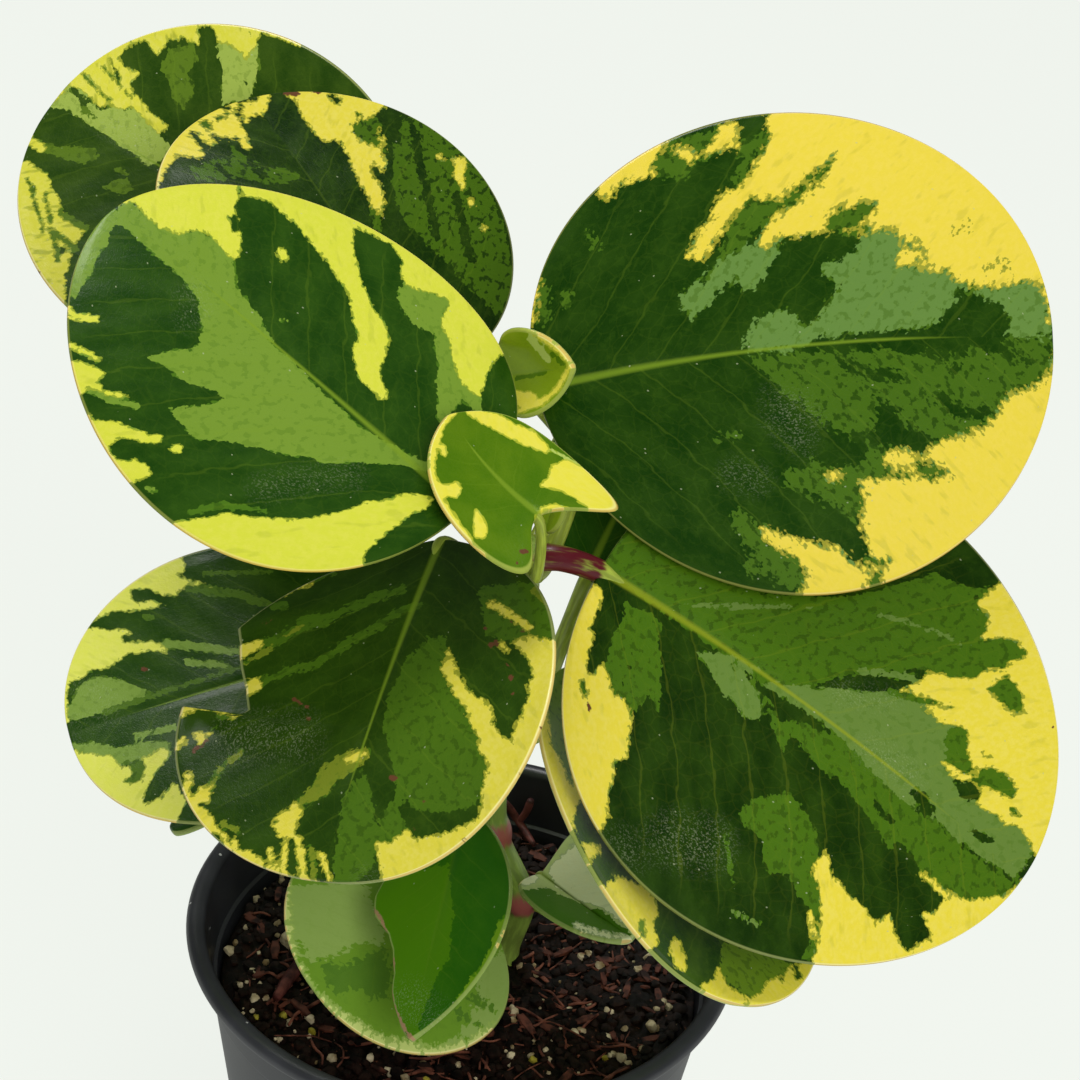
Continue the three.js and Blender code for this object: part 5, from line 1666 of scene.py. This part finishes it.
# ---- Large leaf under it ----------------------------------------------------------------
# Hangs below the largest one on a stalk from the main stem: a waxy blade with a yellow
# margin, dark patches and a green lower end.
patches = [
    ("mid", 0, (525, 640), (575, 640), (566, 700), (566, 740), (572, 765), (560, 772), (545, 755),
     (530, 735)),
    ("yellow", 10, (538, 660), (538, 700), (542, 740)),
    ("yellow", 0, (530, 732), (548, 748), (560, 768), (568, 772), (575, 785), (578, 800), (575, 812),
     (575, 830), (585, 850), (556, 812), (530, 775)),
    ("mid", 7, (562, 762), (568, 785)),
    ("dark", 0, (577, 800), (582, 815), (590, 830), (597, 845), (592, 855), (583, 848), (576, 838),
     (570, 822), (574, 808)),
    ("yellow", 0, (582, 845), (597, 848), (598, 860), (588, 864)),
    ("dark", 0, (597, 850), (602, 862), (612, 870), (610, 880), (602, 882), (594, 868), (590, 860)),
    ("yellow", 0, (598, 884), (605, 890), (612, 875), (620, 880), (630, 885), (645, 893), (652, 903),
     (655, 915), (650, 925), (655, 945), (646, 952), (630, 932), (615, 912)),
    ("dark", 5, (612, 880), (618, 872)),
    ("mid", 8, (640, 925), (642, 935)),
    ("yellow", 0, (671, 940), (678, 945), (682, 960), (683, 972), (675, 968), (668, 955)),
    ("yellow", 0, (698, 987), (712, 982), (715, 970), (720, 975), (722, 988), (735, 995), (745, 1000),
     (735, 1012), (712, 1004)),
    ("mid", 0, (720, 945), (760, 955), (790, 965), (785, 980), (770, 985), (762, 995), (745, 1000),
     (735, 990), (725, 985), (718, 970)),
    ("yellow", 0, (765, 985), (785, 975), (790, 968), (810, 962), (818, 972), (802, 990), (780, 1004),
     (750, 1012), (745, 1003), (760, 995)),
    ("dark", 8, (795, 970), (797, 978)),
    ("dark", 5, (780, 980), (781, 981)),
]
grown_leaf("leaf_right_under", dict(
    foot=(21, 4, 153), stance=(-63, -26, -30, 7, 15), length=72, width=68, widest=0.51,
    rounding=(0.5, 0.47), stalk=("main", 139, 15, 2), seen=patches),
    Dark=srgb(26, 62, 4), Mid=srgb(96, 128, 16), Pale=srgb(150, 158, 40), Yellow=srgb(224, 210, 56))


# ---- Young leaf, back -------------------------------------------------------------------
# A small cupped leaf that has just opened above the shoot tip, olive and yellow-green. The
# young leaves have softer colours than the old ones, and a pale rim.
young = dict(Dark=srgb(66, 106, 3), Mid=srgb(124, 150, 20), Pale=srgb(172, 190, 90),
             Yellow=srgb(222, 212, 66), Rim=srgb(232, 224, 140), Mottle=0.1, Fray=0.6)
patches = [
    # A pale streak that paints a highlight.
    ("pale", 7, (532, 336), (552, 358)),
    ("yellow", 14, (520, 400), (532, 400)),
    ("dark", 6, (556, 352), (566, 362)),
    ("dark", 5, (520, 378), (548, 372)),
    ("yellow", 3, (513, 321), (535, 330), (560, 348), (574, 363)),
    ("yellow", 3, (572, 368), (560, 390), (543, 405), (520, 413)),
]
grown_leaf("leaf_young_back", dict(
    foot=(-2, 10, 209.5), stance=(-38, 29, 76, -3, 48), length=19, width=17.7, widest=0.47,
    rounding=(0.45, 0.86), mesh=(120, 110), vein_gap=4, wavy=0.3, ground="mid",
    stalk=("main", 184.5, 105, 1, (0, 2, 200)), seen=patches),
    slot="young_leaf", **young)


# ---- Young leaf, front ------------------------------------------------------------------
# A heart-shaped young leaf in front of the shoot tip, on a thin stalk: mid green with a
# cream rim, its right lobe yellow.
patches = [
    ("yellow", 5, (459, 404), (440, 425), (431, 450), (430, 475), (440, 503), (455, 525), (470, 545),
     (482, 558)),
    ("yellow", 4, (482, 558), (500, 573)),
    ("yellow", 0, (459, 400), (480, 412), (500, 418), (515, 427), (530, 431), (540, 442), (551, 452),
     (545, 454), (530, 449), (510, 440), (495, 432), (480, 424), (465, 414)),
    # A pale line that paints the highlight along a crease.
    ("pale", 2.5, (551, 452), (575, 465), (599, 481)),
    ("yellow", 0, (548, 480), (552, 468), (565, 462), (580, 468), (595, 476), (612, 484), (624, 500),
     (614, 514), (600, 520), (585, 518), (588, 508), (578, 505), (568, 498), (560, 492), (548, 490),
     (540, 488)),
    ("yellow", 3, (537, 520), (542, 511), (555, 509), (575, 514)),
    ("dark", 3, (560, 498), (575, 505), (585, 512)),
    ("yellow", 0, (438, 487), (445, 488), (455, 485), (460, 490), (455, 500), (445, 498), (436, 500)),
    ("yellow", 4, (440, 448), (442, 455)),
    ("yellow", 0, (475, 512), (480, 520), (485, 530), (482, 540), (475, 538), (472, 525)),
    ("yellow", 4, (528, 580), (534, 575)),
    ("scar", 4, (520, 554), (527, 554)),
    ("scar", 2.5, (516, 565), (517, 565)),
]
grown_leaf("leaf_young_front", dict(
    soft=0.7, foot=(7.5, -28, 205), stance=(147, 13, -8, 33, 8), length=23.5, width=28.5, widest=0.45,
    rounding=(0.28, 0.76), lobe=1.15, skew=-0.03, mesh=(160, 150), vein_gap=5, wavy=0.3, ground="dark",
    stalk=("main", 190, -72, 1.1), seen=patches),
    slot="young_leaf", **young)


# ---- Shoot bud --------------------------------------------------------------------------
# A blunt folded olive bud at the shoot tip, the next leaf to open, on a stub of a stalk
# from the main stem's top node.
grown_leaf("leaf_bud", dict(
    foot=(9, -10.5, 190.5), stance=(60, 62, 0, 0, 0), length=8, width=6, widest=0.5, rounding=(0.5, 0.5),
    fold=20, mesh=(72, 60), vein_gap=3, wavy=0.2, ground="mid", stalk=("main", 189.5, 70, 0.9)),
    slot="young_leaf", **young)


# ---- Leaf behind the centre -------------------------------------------------------------
# Seen from below in the gap beside the bud: a blue-grey green blade with a pale margin, on
# a light green stalk from the main stem.
grown_leaf("leaf_behind_centre", dict(
    foot=(17, -1, 175), stance=(60, 48, 10, -10, 5), length=42, width=34, widest=0.5, rounding=(0.5, 0.5),
    mesh=(140, 130), vein_gap=6, stalk=("main", 148, 25, 1.8, (14, 0, 161)),
    # Its dust patch paints a sheen.
    paint=[("pale", 3, (0.3, 1.0), (0.8, 1.0)), ("dust", 5, (0.5, 0.5), (0.6, 0.6))]))


# ---- Leaf over the mix ------------------------------------------------------------------
# A deep green leaf that hangs low over the mix on a stalk from the main stem, with a corky
# tan scar along its eaten left margin.
patches = [
    ("mid", 0, (355, 890), (400, 876), (450, 866), (456, 920), (450, 960), (430, 1000), (415, 1045),
     (390, 1005), (380, 940)),
    ("pale", 14, (508, 925), (492, 965), (465, 1002)),
    ("yellow", 2, (508, 925), (492, 968), (465, 1006)),
    ("scar", 4, (365, 890), (370, 905), (383, 922), (390, 950), (394, 965), (391, 985), (393, 1005),
     (403, 1025), (415, 1043)),
    # A pale flecked patch that paints a highlight.
    ("dust", 26, (412, 1000), (432, 1018)),
]
grown_leaf("leaf_pot_upper", dict(
    foot=(-1, -4, 123), stance=(-97, -19, 27, -3, 14), length=50, width=32, widest=0.52,
    rounding=(0.46, 0.98),
    bite=(-1, [(0.3, 1), (0.39, 0.97), (0.47, 0.87), (0.55, 0.63), (0.62, 0.54), (0.72, 0.51),
               (0.8, 0.58), (0.91, 0.62), (0.98, 0.8)]), mesh=(180, 190), vein_gap=6,
    stalk=("main", 115, 205, 1.6), seen=patches),
    Dark=srgb(34, 92, 5), Mid=srgb(72, 122, 8), Pale=srgb(108, 148, 22), Yellow=srgb(196, 208, 96),
    Scar=srgb(158, 126, 92), Mottle=0.0, Rib_share=0.1)


# ---- Leaf over the near rim -------------------------------------------------------------
# A blade that grows from the main stem's lowest node out to the pot's near rim: mid green
# with a paler cloudy half and a cream-green margin.
patches = [
    ("pale", 0, (280, 885), (365, 885), (370, 910), (385, 930), (380, 945), (355, 945), (335, 960),
     (310, 965), (290, 930)),
    ("dark", 0, (320, 965), (345, 968), (370, 955), (385, 950), (388, 975), (385, 1000), (370, 1000),
     (350, 990), (335, 995), (325, 985)),
    ("pale", 0, (480, 960), (520, 945), (525, 1000), (505, 1030), (480, 1038), (455, 1044), (470, 1010)),
    ("dark", 8, (470, 1000), (490, 1010)),
    ("dark", 6, (455, 1015), (480, 1030)),
    ("yellow", 7, (284, 890), (284, 930), (292, 965), (311, 996), (340, 1021), (380, 1044), (430, 1054),
     (470, 1048), (502, 1026)),
]
grown_leaf("leaf_pot_lower", dict(
    soft=1.6, foot=(3, -3, 98), stance=(-134, 5, -23, -4, 9), length=42, width=49, widest=0.52,
    rounding=(0.45, 0.45), mesh=(190, 180), vein_gap=6, stalk=("main", 98, 195, 1.5), ground="mid",
    seen=patches),
    Dark=srgb(82, 122, 38), Mid=srgb(112, 152, 44), Pale=srgb(146, 172, 88), Yellow=srgb(196, 210, 120),
    Mottle=0.15, Rib_share=0.3)


# ---- Small leaf, right over the mix -----------------------------------------------------
# A small blade folded along its midrib, on a thin stalk from the main stem's lowest node:
# cream and pale green above its fold and green below it.
patches = [
    ("yellow", 0, (550, 872), (575, 845), (598, 832), (618, 866), (634, 900), (638, 934), (615, 918),
     (600, 908), (575, 902), (556, 890)),
    ("mid", 0, (520, 894), (545, 892), (575, 905), (610, 915), (632, 938), (600, 940), (565, 932),
     (538, 916)),
    ("yellow", 3, (575, 928), (600, 937), (630, 942)),
    ("yellow", 8, (518, 884), (533, 881)),
]
grown_leaf("leaf_pot_right", dict(
    foot=(14, -5, 109), stance=(-44, -1, 8, 5, 5), length=25, width=25, widest=0.47, rounding=(0.45, 0.51),
    fold=22, lobe=0.3, skew=0.18, mesh=(130, 120), vein_gap=4, wavy=0.4, ground="pale",
    stalk=("main", 98, -30, 1.4), seen=patches),
    Dark=srgb(66, 106, 26), Mid=srgb(74, 124, 16), Pale=srgb(192, 208, 136), Yellow=srgb(236, 240, 196),
    Mottle=0.1)
